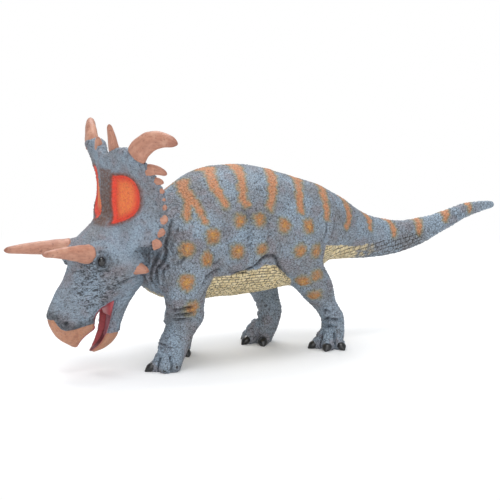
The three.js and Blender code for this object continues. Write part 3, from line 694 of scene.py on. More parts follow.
# spots of each side: x, z, radius
SPOTS = {
    -1: [(-39.3, 39.4, 2.3), (-29.9, 42.2, 2.3), (-32.6, 35.4, 2.1), (-20.1, 46.4, 1.9), (-13.5, 46.5, 1.8),
         (-4.9, 43.9, 2.1), (4.4, 42.7, 2.1), (-21.3, 37.1, 2.1), (-13, 37, 1.6), (0.4, 35.2, 1.9),
         (6.9, 34.4, 1.7), (-39.6, 29.2, 2.4), (3.4, 24.4, 2.1), (7.8, 26.4, 1.7), (8.4, 19.3, 2.0),
         (-37.7, 20.4, 2.1)],
    1: [(-39.0, 41.0, 2.3), (-31.0, 36.8, 2.2), (-26.5, 45.0, 2.0), (-18.5, 41.5, 2.1), (-11.0, 47.2, 1.9),
        (-6.5, 39.0, 2.0), (3.2, 44.0, 2.2), (-22.5, 34.8, 1.8), (1.5, 34.6, 1.9), (8.0, 36.0, 1.7),
        (-36.2, 29.8, 2.3), (4.2, 26.0, 1.6), (10.4, 22.0, 1.5), (-31.5, 20.8, 1.7)],
}
# upper edge of the cream: x, z
BELLY = np.array([
    [-58, 26], [-50, 26.4], [-46, 25], [-41, 22.4], [-37, 26.4], [-33.6, 28.3], [-28.6, 29.1],
    [-21.4, 29.4], [-14.3, 30.5], [-11, 31.7], [-7.6, 31.3], [-5.3, 29.1], [-1.1, 25.9], [3, 24],
    [7, 26.5], [11.7, 35.2], [19, 34], [26.4, 32.3], [36, 32.1], [52, 33.4], [60, 34], [90, 36],
])

OUTSIDE = -9.0  # mm, a start below every distance of the plan
legs_near = np.min([leg_room(body, *leg) for leg in LEGS.values()], axis=0)
stripe = np.full(len(body), OUTSIDE)
for (top, middle, end, line), slip in zip(STRIPES, FAR_SLIP):
    near = np.array(line, float)
    turn_back = np.exp(near[:, 1] / 6)
    far = near * [1, -1, 1]
    far[:, 0] += 2 * (near[0, 0] - near[:, 0]) * turn_back + (slip + 1.5) * (1 - turn_back)
    for path in (near, far):
        d, share = line_distance(body, path)
        half = np.interp(share, [0, 0.25, 0.6, 1], [top, 0.6 * top + 0.4 * middle, middle, end])
        stripe = np.maximum(stripe, half - d)
wobble = 0.5 * drift(body, 1.7, seed=5) + 0.45 * drift(body, 0.8, seed=6)
stripe = np.clip(stripe + wobble, -3, 3)

spot = np.full(len(body), OUTSIDE)
spot_turn = np.zeros(len(body))
ragged = 0.5 * drift(body, 1.4, seed=24) + 0.3 * drift(body, 0.7, seed=26)
for side, marks in SPOTS.items():
    facing = side * body_normals[:, 1]
    for x, z, radius in marks:
        dx, dz = body[:, 0] - x, body[:, 2] - z
        inward = side * body[:, 1] < 3
        # the spot's middle is the place of the skin beside x, z, so the spot is round on the skin
        middle = body[np.argmin(np.hypot(dx, dz) + 9 * (facing < 0.4) + 9 * inward)]
        turn = np.arctan2(dz, dx)
        near = radius + 0.12 * np.cos(11 * turn + x) + ragged - distance(body, middle)
        near = near - 6 * np.clip(0.25 - facing, 0, 1) - 3 * inward
        spot_turn = np.where(near > spot, turn, spot_turn)
        spot = np.maximum(spot, near)
grit = 0.3 * drift(body, 1.2, seed=7)
belly = np.interp(body[:, 0], *BELLY.T) - body[:, 2] + grit
belly = np.minimum(belly, 1.2 * legs_near - 0.6) - 6 * ease(19, 16, body[:, 2])
bricks = np.clip(np.minimum(belly, 0.05 * (58 - body[:, 0])), -3, 3)
belly = np.clip(np.minimum(belly, 0.05 * (31.5 - body[:, 0]) + grit), -3, 3)  # fades out under the tail
print("striped:", (stripe > 0).mean().round(3), "spotted:", (spot > 0).mean().round(3),
      "cream:", (belly > 0).mean().round(3))

# %% [markdown]
# ## Scales
# The skin is cast from a clay master whose scales were pressed in one by one: round pebbles of
# about a millimetre, larger single scales on the back, rosettes under the spots, and small
# bricks in rows on the belly. Cell noise presses thousands of them at once, and the few that
# the eye finds are placed one by one. All of it is relief in the mesh.

# %% Relief of the body
# single large scales: x, side place, z, radius
BIG_SCALES = [
    (-11.2, -10.7, 57.3, 0.75), (-11.7, -12.9, 55.4, 0.65), (-14, -14.4, 54, 0.6), (-9.9, -12.3, 55.8, 0.7),
    (-34.1, -12.1, 49.4, 0.8), (-29.1, -17.2, 38.5, 0.8), (24.8, -11.5, 37.5, 0.6),
    (28.6, -10.2, 36.5, 0.6), (20.8, -13, 37.5, 0.6), (-21, -14.2, 51.6, 0.6), (-1.5, -15.5, 50.5, 0.65),
    (9.5, -15, 46.5, 0.65), (18.5, -11.6, 44.5, 0.55), (31, -8, 40.5, 0.5), (-26.5, -15.9, 46.2, 0.55),
    (-36.5, -14.2, 43.8, 0.6),
]


def pebbles(points, size, seed, lift):
    """Relief of cell noise: each cell is a low dome, lower towards its border, and taller by its
    tone. Returns the relief in mm, the seams between the domes from 0 to 1, and the tone."""
    border, tone = cells(points, size, seed)
    dome = ease(0.02, 0.42, border / size)
    return lift * (dome - 0.55) * (0.7 + 0.6 * tone), 1 - ease(0.03, 0.3, border / size), tone


def left_side(points):
    """The points with those of the right side mirrored to the left."""
    return np.stack([points[:, 0], -np.abs(points[:, 1]), points[:, 2]], 1)


def pits(points, size, seed):
    """Scattered pits: 1 where value noise of two scales is far below its mean, else 0."""
    return ease(0.15, 0.8, -drift(points, size, seed) - 0.55 * drift(points, 0.5 * size, seed + 1))


fine = pebbles(body, size=0.98, seed=1, lift=0.3)
small = pebbles(body, size=0.78, seed=2, lift=0.17)
# the feet have the smaller scales
share_small = ease(0, 1, np.clip((16 - body[:, 2]) / 8, 0, 1) + 0.6 * drift(body, 5, seed=3))
brick = pebbles(body * [0.7, 0.95, 0.95], size=1.0, seed=4, lift=0.26)  # longer than wide
relief = fine[0] * (1 - share_small) + small[0] * share_small
seams = fine[1] * (1 - share_small) + small[1] * share_small
tone = fine[2]
on_belly = ease(-0.4, 0.3, belly)
relief = relief * (1 - on_belly) + brick[0] * on_belly
seams = seams * (1 - on_belly) + brick[1] * on_belly
on_spot = ease(-0.6, 0.9, spot)
rosette = 0.3 * on_spot + 0.09 * on_spot * np.cos(9 * spot_turn + 2 * tone)
lumps = np.zeros(len(body))
for x, y, z, radius in BIG_SCALES:
    for side in (1, -1):
        lumps = np.maximum(lumps, peak(distance(body, [x, side * y, z]), radius))
swell = 0.22 * drift(body, 7, seed=8) + 0.14 * drift(body, 3.2, seed=9)
rough = 0.45 + 0.55 * ease(-0.35, 0.35, drift(body, 8, seed=21))
pocks = pits(body, 0.7, seed=22) * (0.4 + 0.6 * rough) * (1 - on_belly)
relief = relief * (0.6 + 0.4 * rough) - 0.12 * pocks
tip_fade = 1 - ease(78, 86, body[:, 0])
height = relief * (1 - 0.6 * np.clip(lumps, 0, 1)) + rosette + 0.5 * lumps + swell
height = height * (0.25 + 0.75 * tip_fade)
body = body + (height + fold_depth)[:, None] * body_normals
body_normals = normals(body, body_faces)
# way round the belly in mm from the middle below, as angle times radius round an axis at a
# height; both step behind the thighs, where the rows of bricks follow the thinner tail
ROUND_AT, ROUND_REACH, ROUND_AXIS = [16, 16.1, 58], [17.5, 6.3, 4.5], [39, 34, 34]
reach, axis = (np.interp(body[:, 0], ROUND_AT, row) for row in (ROUND_REACH, ROUND_AXIS))
girth = reach * np.arctan2(np.abs(body[:, 1]), axis - body[:, 2])
# painted highlights: zones painted lighter, partly the painter's light brushing and partly light on the
# skin: x, side place, z, radius
PAINTED_HIGHLIGHTS = [
    (-18, 18, 42, 7), (-2, 18, 46, 7), (-22, 13, 54, 6), (8, 15, 40, 6), (-38, 16, 30, 7),
    (40, 5, 36, 9), (-6, 8, 58, 8), (-43, 12, 11, 7), (4, 7, 18, 9), (17, 11, 13, 8),
    (2, 17, 38, 6), (61, 3, 36, 8), (83, 0, 40, 8),
]
# painted highlight: lighter near each zone, with a little noise
painted_highlight = np.max([peak(distance(body, [x, s * y, z]), r)
                 for x, y, z, r in PAINTED_HIGHLIGHTS for s in (-1, 1)], axis=0) + 0.3 * drift(body, 4, seed=27)
neck_shade = ease(-39, -44.5, body[:, 0]) * ease(24, 28, body[:, 2]) * ease(52, 45, body[:, 2])
crevice = np.clip(-fold_depth - 0.05, 0, 1) ** 0.8
SHADED_HOLLOW = [-49, -11, 37]  # behind the cheek, where painted shade darkens the hollow
neck_hollow_shade = peak(distance(left_side(body), SHADED_HOLLOW), 4.2)
# dark wash in the scale seams and pits, and painted shade in the folds, on the neck under the frill and in
# the hollow behind the cheek
wash_and_shade = np.clip(seams * (0.22 + 0.6 * on_belly) * (0.5 + 0.5 * np.maximum(rough, on_belly))
               + 0.3 * pocks + (0.8 + 0.25 * drift(body, 1.0, seed=20)) * crevice
               + neck_shade * (0.13 + 0.14 * drift(body, 1.1, seed=19)) + 0.45 * neck_hollow_shade, 0, 1)
print("relief from", height.min().round(2), "to", height.max().round(2), "mm")

# %% [markdown]
# ## Cutting the skin into the toy's pieces
# The toy is moulded in pieces that plug together. The skin was shaped as one so that folds and
# scales run on across the joins, and now it is cut: the tail along a plane, each leg along a
# line just outside its own loft. Blender's bisect tool knows only planes and drops the paint
# plan, so the cut is worked out here. Every cut is closed by a fan to a point deep inside.


# %% Cut a closed skin
def pick(rows, at):
    """One entry of each row of three, at a place that counts round."""
    return rows[np.arange(len(rows)), at % 3]


def cut(points, triangles, fields, level, hub):
    """Keeps the part where level is negative. Crossed edges get a point where level is 0, the
    fields are mixed there, and each cut edge is joined to the hub."""
    n = len(points)
    a, b = triangles, np.roll(triangles, -1, axis=1)
    inside = level < 0
    crossing = inside[a] != inside[b]
    key = np.minimum(a, b).astype(np.int64) * n + np.maximum(a, b)
    keys, order = np.unique(key[crossing], return_inverse=True)
    i, j = keys // n, keys % n
    t = (level[i] / (level[i] - level[j]))[:, None]
    points = np.vstack([points, points[i] + t * (points[j] - points[i]), hub])
    fields = np.vstack([fields, fields[i] + t * (fields[j] - fields[i]), fields[i].mean(0)])
    middle = np.full(a.shape, -1)
    middle[crossing] = n + order
    count = inside[a].sum(1)
    one, two = a[count == 1], a[count == 2]
    first = inside[one].argmax(1)
    m = middle[count == 1]
    start, end = pick(m, first), pick(m, first + 2)
    corner = np.stack([pick(one, first), start, end], 1)
    last = (~inside[two]).argmax(1)
    m = middle[count == 2]
    after, before = pick(m, last), pick(m, last + 2)
    near, far = pick(two, last + 1), pick(two, last + 2)
    flaps = np.vstack([np.stack([after, near, far], 1), np.stack([after, far, before], 1)])
    rim = np.vstack([np.stack([start, end], 1), np.stack([before, after], 1)])
    caps = np.column_stack([rim[:, 1], rim[:, 0], np.full(len(rim), len(points) - 1)])
    triangles = np.vstack([a[count == 3], corner, flaps, caps])
    edge = np.zeros(len(points))
    edge[n:-1] = 1
    fields[:, -1] = np.maximum(fields[:, -1], edge)
    used, triangles = np.unique(triangles, return_inverse=True)
    return points[used], triangles.reshape(-1, 3), fields[used]


def main_part(points, triangles, fields):
    """Only the largest connected part: labels spread along edges until they rest."""
    label = np.arange(len(points))
    a, b = triangle_edges(triangles).T
    while True:
        low = np.minimum(label[a], label[b])
        fresh = label.copy()
        np.minimum.at(fresh, a, low)
        np.minimum.at(fresh, b, low)
        fresh = fresh[fresh]
        if (fresh == label).all():
            break
        label = fresh
    keep = label == np.bincount(label).argmax()
    used, triangles = np.unique(triangles[keep[triangles].all(1)], return_inverse=True)
    return points[used], triangles.reshape(-1, 3), fields[used]


# %% Six pieces out of the body skin
FIELDS = ["stripe", "spot", "belly", "bricks", "wash_and_shade", "tone", "painted_highlight", "girth", "nx", "ny", "nz", "edge"]
paint = np.column_stack([stripe, spot, belly, bricks, wash_and_shade, tone, painted_highlight, girth, body_normals,
                         np.zeros(len(body))])
TAIL_SEAM = TRUNK_MIDDLE + 30.15  # in the middle of the gap between trunk and tail
SEAM_GAP = 0.02  # mm, half the gap between the two skins at the tail
HUB_DEPTH, HUB_HEIGHT = 3, 34.0  # mm, how deep and how high the point lies that closes each
LEG_MARGIN = 1.1  # mm between a leg's loft and its cut, more at the foot, where the toes stand out

pieces = {}
trunk_part = (body, body_faces, paint)
for name, (table, side) in LEGS.items():
    rooms = {other: leg_room(trunk_part[0], *LEGS[other]) for other in LEGS}
    rivals = np.min([room for other, room in rooms.items() if other != name], axis=0)
    margin = LEG_MARGIN + 9 * ease(17, 10, trunk_part[0][:, 2])
    level = np.maximum(rooms[name] - margin, rooms[name] - rivals)
    root = leg_rows(table, side)[-3]
    inner = np.array([root[1], 0.45 * root[2], root[0]])
    leg = cut(*trunk_part, level, inner + [0, 0.5 * side, 0])
    leg = main_part(*leg)
    leg = cut(*leg, -leg[0][:, 2], np.append(toe_places(table, side)[0][:2], 0.0))
    pieces[name] = leg
    trunk_part = main_part(*cut(*trunk_part, -level, inner - [0, 0.5 * side, 0]))
seam = TAIL_SEAM - trunk_part[0][:, 0]
pieces["tail"] = cut(*trunk_part, seam + SEAM_GAP, np.array([TAIL_SEAM + HUB_DEPTH, 0, HUB_HEIGHT]))
pieces["torso"] = cut(*trunk_part, -seam + SEAM_GAP, np.array([TAIL_SEAM - HUB_DEPTH, 0, HUB_HEIGHT]))
for name, part in pieces.items():
    print(name, len(part[1]), "triangles, rim points", int(part[2][:, -1].sum()))

# %% [markdown]
# ## The head in clay
# The head is three masses: the skull, which drops away from the neck at 60 degrees, the frill,
# a bent shield behind it, and a boss over each eye that carries a horn. Places on the head are
# given along the face and out of it, from the poll, where the head meets the neck: the face
# slopes, and shares along the slope stay readable where x and z would not.

# %% Skull, frill and brows
# place down the face, underside, top, half width
SKULL = np.array([
    [-0.105, -0.36, 0.24, 0.33], [0, -0.48, 0.27, 0.42], [0.13, -0.5, 0.34, 0.46],
    [0.263, -0.48, 0.38, 0.42], [0.395, -0.44, 0.31, 0.34], [0.526, -0.33, 0.31, 0.262],
    [0.64, -0.27, 0.335, 0.22], [0.7, -0.285, 0.335, 0.205], [0.745, -0.36, 0.335, 0.195],
    [0.78, -0.34, 0.33, 0.185], [0.81, -0.31, 0.32, 0.178], [0.868, -0.27, 0.285, 0.16],
    [0.91, -0.255, 0.215, 0.14], [0.94, -0.265, 0.14, 0.115], [0.965, -0.27, 0.05, 0.085],
    [0.98, -0.24, -0.05, 0.045],
])
# half outline of the frill: side place, height
FRILL = np.array([
    [0, -0.053], [0.54, -0.08], [0.654, -0.026], [0.715, 0.08], [0.738, 0.197], [0.742, 0.33],
    [0.731, 0.447], [0.697, 0.54], [0.665, 0.635], [0.62, 0.718], [0.49, 0.755], [0.346, 0.765],
    [0.192, 0.745], [0.096, 0.705], [0, 0.67],
])
RIM_THICK, MIDDLE_THICK, FRILL_MIDDLE = 3.4, 4.2, 0.34  # mm, mm, share of the height
FRILL_REACH = 0.742 * HEAD_WIDTH


def on_head(forward, sideways, up, side):
    """A place from shares of head length, head width and head length, measured from the poll, on
    the left side (-1) or the right (1)."""
    return POLL + [-forward * HEAD_LENGTH, side * sideways * HEAD_WIDTH, up * HEAD_LENGTH]


def face_shares(points):
    """Shares down the face and out of the face, measured from the poll."""
    return (points - POLL) @ FACE_DOWN / HEAD_LENGTH, (points - POLL) @ FACE_OUT / HEAD_DEPTH


def head_rings(rows, power, widest):
    """Loft down the face from a table of place, underside, top and half width."""
    a = np.linspace(rows[0, 0], rows[-1, 0], 150)
    low, high, half = read_rows(rows, a)
    level = low + (high - low) * widest
    middles = POLL + (a * HEAD_LENGTH)[:, None] * FACE_DOWN + (level * HEAD_DEPTH)[:, None] * FACE_OUT
    return tube(middles, -Y, FACE_OUT, half * HEAD_WIDTH, (high - level) * HEAD_DEPTH,
                (level - low) * HEAD_DEPTH, power, facets=96)


def frill_front(y, z):
    """Place of the frill's front face from the poll: leans back with height, sweeps back low and
    wide, stands more upright near the middle, and the far top corner comes forward."""
    edge, height = np.abs(y) / FRILL_REACH, z / HEAD_LENGTH
    fade = np.clip(1 - ((height - 0.08) / 0.63) ** 2, 0, None)
    upright = np.clip(1.9 - 9.2 * (height - 0.19), -2.6, 2.4) * peak(y, 7)
    swept = np.where(y < 0, 2.1, 2.6) * ease(0.68, 1, edge) * ease(0.74, 0.6, height)
    forward = 1.2 * ease(0.45, 0.85, y / FRILL_REACH) * ease(0.48, 0.62, height)
    return -(0.15 - 0.186 * height) * HEAD_LENGTH + 10 * fade * edge ** 1.5 + upright + swept - forward


def frill_shell():
    """Rings of the outline shrunk to its middle, in front, round the rim and back behind."""
    run = np.concatenate([[0], np.cumsum(np.linalg.norm(np.diff(FRILL, axis=0), axis=1))])
    half = spline(run, FRILL, np.linspace(0, run[-1], 90))
    outline = np.vstack([half, half[-2:0:-1] * [-1, 1]])
    share = np.concatenate([np.linspace(0.03, 0.94, 26), [0.975, 0.993, 0.993, 0.975],
                            np.linspace(0.94, 0.03, 26)])
    behind = np.concatenate([np.zeros(26), [0.05, 0.3, 0.7, 0.95], np.ones(26)])
    y = share[:, None] * outline[:, 0] * HEAD_WIDTH
    z = (FRILL_MIDDLE + (outline[:, 1] - FRILL_MIDDLE) * share[:, None]) * HEAD_LENGTH
    thick = MIDDLE_THICK + (RIM_THICK - MIDDLE_THICK) * ease(0.6, 1, share)
    x = frill_front(y, z) + (behind * thick)[:, None]
    return shell(POLL + np.stack([x, y, z], -1))


brows = [ellipsoid(on_head(0.235, 0.285, -0.15, side), (5, 4.4, 4.4)) for side in (-1, 1)]
cheeks = [ellipsoid(on_head(-0.03, 0.4, -0.2, side), (4.2, 2.8, 3.4)) for side in (-1, 1)]
HEAD_CLAY, HEAD_SKIN = 0.5, 0.29  # voxels in mm
skull = shell(head_rings(SKULL, power=2.4, widest=0.32))
clay, clay_faces = fuse([skull, frill_shell()] + brows + cheeks, HEAD_CLAY)
clay = relax(clay, clay_faces, rounds=7, weight=0.9)
head, head_faces = fuse([(clay, clay_faces)], HEAD_SKIN)
head = relax(head, head_faces, rounds=3)
head_normals = normals(head, head_faces)
print("head skin:", len(head), "points,", len(head_faces), "triangles")

# %% [markdown]
# ## The face
# The face follows the photograph: small dark eyes in ringed lids below the horns, a hollow ear
# at the frill's foot, pitted skin on the muzzle, small nostrils, and a bare beak set off by a
# groove. In front, the frill has two sunken windows, straight towards the middle and round
# outside. Each of them is a distance too, and the relief is one sum of small hills and hollows
# of these distances.

# %% Relief of the head
EYE, NOSTRIL, EAR = (-65.8, -11.2, 37.0), (-74.6, -4.1, 17.1), (-53.8, -14.4, 40.0)
# outlines of the frill windows, side place and height: both share the round outside and the top
WINDOW = [(-13.8, 61.7), (-14.8, 59.3), (-15.0, 56.5), (-14.7, 53.3), (-13.4, 50.7), (-11, 48.9)]
WINDOW_TOP = [(-6.5, 63), (-9.1, 63.4), (-11.7, 63)]
NEAR_INNER = [(-8.2, 47.7), (-5.4, 47.0), (-4.6, 49.6), (-3.9, 52.9), (-4.0, 57.4), (-4.5, 62.4)]
FAR_INNER = [(-7.2, 47.8), (-2.2, 47.6), (-1.4, 49.6), (-1.8, 52.9), (-2.6, 57.4), (-4.6, 62.4)]
# edge of the upper beak: share out of the face, share down the face
BEAK = np.array([[-0.24, 0.72], [-0.103, 0.794], [-0.029, 0.8405], [0.059, 0.883], [0.123, 0.889],
                 [0.192, 0.873], [0.261, 0.847], [0.287, 0.86], [0.34, 0.87]])
# depth and half width in mm, then points x, y, z
HEAD_FOLDS = [
    (0.75, 0.34, [(-50.6, -8.7, 30.7), (-54.6, -10.4, 30.8), (-56.6, -10.2, 30.2), (-58.6, -9.9, 29.2),
                  (-60.6, -9.2, 28.2)]),
    (0.35, 0.6, [(-62.5, -11.8, 34.2), (-65.2, -11.3, 33.4), (-67.6, -10.2, 34)]),
    (0.25, 0.5, [(-61.6, -12.6, 40.0), (-61.2, -13, 37.4), (-62, -12.7, 35)]),
    (0.3, 0.5, [(-69.5, -8, 30.8), (-67.2, -9.4, 30.6), (-65, -10, 31.4)]),
]


def inside_distance(flat, loop):
    """Distance to a closed line, positive inside: a point is inside if a ray from it crosses an
    odd number of edges."""
    loop = np.asarray(loop, float)
    d = line_distance(flat, np.vstack([loop, loop[:1]]))[0]
    odd = np.zeros(len(flat), bool)
    for (x0, y0), (x1, y1) in zip(loop, np.roll(loop, -1, axis=0)):
        span = (flat[:, 1] > y0) != (flat[:, 1] > y1)
        odd ^= span & (flat[:, 0] < x0 + (flat[:, 1] - y0) * (x1 - x0) / (y1 - y0 + 1e-12))
    return np.where(odd, d, -d)


def smooth_loop(loop, count):
    """The closed line through the points, smoothed by the spline over three turns."""
    three = np.vstack([loop] * 3)
    at = np.linspace(len(loop), 2 * len(loop), count, endpoint=False)
    return spline(np.arange(len(three)), three, at)


NONE = -4.0  # mm, a distance far outside a colour
left_like = left_side(head)
down, out = face_shares(head)
front = head_normals[:, 0] < -0.1
near_window, far_window = (
    inside_distance(left_like[:, 1:], smooth_loop(np.array(WINDOW + inner + WINDOW_TOP), count=90))
    for inner in (NEAR_INNER, FAR_INNER))
window = np.where(head[:, 1] > 0, far_window - 0.3, near_window - 0.5)
window = np.where(front, window, NONE)
bar = np.minimum(2.8 - np.abs(head[:, 1] + 1.3), np.minimum(head[:, 2] - 46.5, 64 - head[:, 2]))
bar = np.where(front, bar, NONE)
upper_beak = (down - np.interp(out, *BEAK.T)) * HEAD_LENGTH * 0.85
eye_gap = distance(left_like, EYE)
nostril_gap = np.linalg.norm((left_like - NOSTRIL) * [1, 1, 1.2], axis=1)
ear_gap = np.linalg.norm((left_like - EAR) * [0.9, 0.6, 0.75], axis=1)

head_fold = np.zeros(len(head))
for depth, width, line in HEAD_FOLDS:
    head_fold += groove(left_like * FLATTER, np.array(line) * FLATTER, depth, width)
muzzle = ease(0.18, 0.34, down) * (1 - ease(0.78, 0.86, down)) * ease(-0.35, -0.1, out)
grain = pebbles(left_like, size=0.85, seed=12, lift=0.2)
dash = pits(left_like * [0.6, 0.6, 1.6], 0.6, seed=31)
speck = pits(left_like, 0.6, seed=33) * (1 - 0.85 * ease(-0.4, 0.4, window))
relief = grain[0] * (1 - 0.7 * muzzle) - 0.2 * dash * muzzle - 0.12 * speck * (1 - muzzle)
seams = (0.2 * grain[1] * (1 - 0.8 * muzzle) * (window < 0)
         + 0.5 * dash * muzzle + 0.4 * speck * (1 - muzzle))
hole = ease(-0.2, 1.1, window)
bare = ease(-0.15, 0.25, upper_beak)
# rings of the lids: height in mm, width, distance from the eye's middle
LIDS = [(0.5, 0.45, 2.4), (-0.7, 1.6, 0), (0.25, 0.4, 3.5), (-0.28, 0.35, 2.8), (-0.15, 0.3, 4.2)]
lids = sum(lift * peak(eye_gap, width, at) for lift, width, at in LIDS)
rings = np.cos(2 * np.pi * eye_gap / 1.25) * peak(eye_gap, 1.6, 5.2) * ease(0.2, -0.6, head_normals[:, 2])
nostril = 0.3 * peak(nostril_gap, 0.5, 1.2) - 1.0 * peak(nostril_gap, 0.55)
ear = -1.2 * peak(ear_gap, 0.9)
BROW_BUMP = [-68.8, 7.2, 33.9]  # on the right, where it shows beside the horn
sculpt = (relief * (1 - 0.75 * bare) * (1 - 0.45 * hole) - 0.85 * hole + 0.25 * peak(window, 0.6, -0.7)
          + lids + 0.16 * rings + nostril + ear + 0.7 * peak(distance(head, BROW_BUMP), 1.1) + head_fold
          - 0.28 * bare - 0.25 * peak(upper_beak, 0.35)
          + 0.25 * ease(-0.5, 1, bar) * (grain[2] - 0.2) + 0.15 * drift(head, 4, seed=13))
head = head + sculpt[:, None] * head_normals
frill_outline = np.vstack([FRILL, FRILL[-2:0:-1] * [-1, 1]]) * [HEAD_WIDTH, HEAD_LENGTH]
rim_gap = -inside_distance(left_like[:, 1:] - POLL[1:], frill_outline)
rim_shade = 0.22 * peak(np.minimum(rim_gap + 0.3, 0), 1.9) * (down < 0.05)
# painted shade: a darker band above the beak's groove, dark nostrils, ear and hollow behind the cheek, a
# darker socket and lid grooves round the eyes, and the folds; the head's wash adds the dark seams between
# scales
above_beak_shade = 0.75 * peak(upper_beak, 1.9, -0.7) * (1 - bare)
holes_shade = (1.8 * peak(nostril_gap, 0.5) + 1.5 * peak(ear_gap, 0.9)
              + 0.85 * peak(distance(left_like, SHADED_HOLLOW), 3.2))
eye_shade = 1.3 * peak(eye_gap, 1.75) + 0.3 * peak(eye_gap, 0.4, 3.2) + 0.26 * peak(eye_gap, 5)
head_wash_and_shade = np.clip(seams * (1 - 0.85 * bare) + rim_shade + above_beak_shade + holes_shade + eye_shade
                    + 0.3 * np.clip(-rings, 0, 1) + np.clip(-head_fold, 0, 1) ** 0.8, 0, 1)
palate = (np.minimum(-(out + 0.12) * HEAD_DEPTH, (down - 0.42) * HEAD_LENGTH)
          - 3 * np.clip(-left_like[:, 1] - 4.6, 0, 3) - 4 * (head_normals @ FACE_OUT > -0.55))
HEAD_FIELDS = ["window", "bar", "beak", "mouth", "wash_and_shade", "muzzle", "painted_highlight"]
# painted highlights on the muzzle's ridge and the lower frill: x, side place, z, radius
HEAD_PAINTED_HIGHLIGHTS = [(-70, -5, 25, 6), (-57, -13, 42, 7), (-58, -15, 55, 5), (-74, -3, 22, 4)]
head_painted_highlight = np.max([peak(distance(left_like, place), r) for *place, r in HEAD_PAINTED_HIGHLIGHTS], axis=0)
CHEEK = [-61, -11, 30]  # the strokes are strongest round it
near_cheek = 0.35 + 0.65 * ease(15, 8, distance(left_like, CHEEK))
strokes = muzzle * (1 - bare) * ease(-0.5, -1.5, window) * near_cheek
plan = [np.clip(field, NONE, most)
        for field, most in ((window, 6), (bar, 4), (upper_beak, 4), (palate, 4))]
head_fields = np.stack([*plan, head_wash_and_shade, strokes, head_painted_highlight + 0.3 * drift(head, 3, seed=28)], 1)
pieces["head"] = (head, head_faces, head_fields)

# %% [markdown]
# ## Lower jaw and mouth
# The lower jaw is a trough with a tongue in it, ending in a pointed beak. Carving it out of a
# solid would leave thin walls to chance, so it is one grid: a loft whose upper face is pushed
# down in the middle and up again along the tongue. A soft red cheek skin closes the mouth's
# corner.

# %% Lower jaw, cheek skin and their paint
# place down the face, underside, top, half width
JAW = np.array([
    [0.13, -0.57, -0.4, 0.27], [0.237, -0.6, -0.27, 0.36], [0.35, -0.585, -0.2, 0.33],
    [0.484, -0.585, -0.33, 0.25], [0.605, -0.62, -0.41, 0.2], [0.71, -0.675, -0.46, 0.165],
    [0.808, -0.645, -0.48, 0.135], [0.884, -0.575, -0.47, 0.09], [0.932, -0.505, -0.45, 0.04],
])


def pad(field):
    """Values of a grid of rings as values of its shell, whose two end points come last."""
    return np.concatenate([field.ravel(), field[0, :1], field[-1, :1]])


grid = head_rings(JAW, power=2.6, widest=0.7)
down, out = face_shares(grid)
low, high, half = read_rows(JAW, down[:, 0])
across = grid[..., 1] / (half[:, None] * HEAD_WIDTH)
upper = ease(0.5, 0.75, (out - low[:, None]) / (high - low)[:, None])
depth = np.interp(down[:, 0], [0.42, 0.55, 0.7, 0.82, 0.9], [0, 2.9, 2.7, 1.7, 0.2])[:, None]
hollow = np.clip(1 - (across / 0.68) ** 2, 0, 1) ** 0.7
tongue = np.interp(down[:, 0], [0.48, 0.6, 0.72, 0.79], [1.9, 1.75, 1.2, 0])[:, None]
tongue = tongue * np.clip(1 - (across / 0.36) ** 2, 0, 1) ** 0.6
sunk = upper * (tongue - depth * hollow)
grid = grid + sunk[..., None] * FACE_OUT
jaw, jaw_faces = shell(grid)
jaw_down = face_shares(jaw)[0]
lip = (0.72 - np.abs(across)) * half[:, None] * HEAD_WIDTH
jaw_mouth = pad(np.where(upper > 0.5, lip, -3)) + 0.15 * drift(jaw, 1.5, seed=16)
jaw_mouth = np.minimum(jaw_mouth, (jaw_down - 0.47) * HEAD_LENGTH)
# painted shade in the middle of the trough, where the mouth is deepest
jaw_trough_shade = pad(ease(0.58, 0.3, np.abs(across)) * upper)
jaw_tongue = pad(ease(0.1, 0.7, np.broadcast_to(tongue, across.shape)) * upper)
jaw_beak = 12.2 - jaw[:, 2] + 0.25 * drift(jaw, 1.2, seed=15)
jaw_normals = normals(jaw, jaw_faces)
jaw_grain = pebbles(left_side(jaw), size=0.85, seed=12, lift=0.22)
plain = ease(0.3, -0.3, np.maximum(jaw_mouth, jaw_beak))
jaw = jaw + (jaw_grain[0] * plain - 0.2 * ease(-0.2, 0.2, jaw_beak) * (jaw_mouth < 0)
             - 0.2 * peak(jaw_beak, 0.35))[:, None] * jaw_normals
jaw_plan = {"beak": np.clip(jaw_beak, NONE, 4), "mouth": np.clip(jaw_mouth, NONE, 4),
              "wash_and_shade": (0.3 + 0.4 * jaw_grain[1]) * plain, "painted_highlight": np.zeros(len(jaw)),
              "trough": jaw_trough_shade, "tongue": jaw_tongue}
CHEEK_SKIN = np.array([[0.25, -0.48, -0.2, 0.24], [0.36, -0.48, -0.24, 0.235], [0.46, -0.47, -0.27, 0.2],
                       [0.52, -0.46, -0.3, 0.165], [0.56, -0.47, -0.36, 0.13], [0.6, -0.49, -0.42, 0.1]])
cheek_skin = shell(head_rings(CHEEK_SKIN, power=2.2, widest=0.5))
print("jaw:", len(jaw_faces), "triangles")

# %% [markdown]
# ## Horns, hooks and points
# Horns are lofts round a bent line that taper to a blunt tip. A bevelled curve would bend as
# well, but its section stays round, and these horns are flattened. Fine lengthwise ridges and a
# few growth rings come from the clay. The small points on the frill's edge and cheeks are the
# same kind of loft.

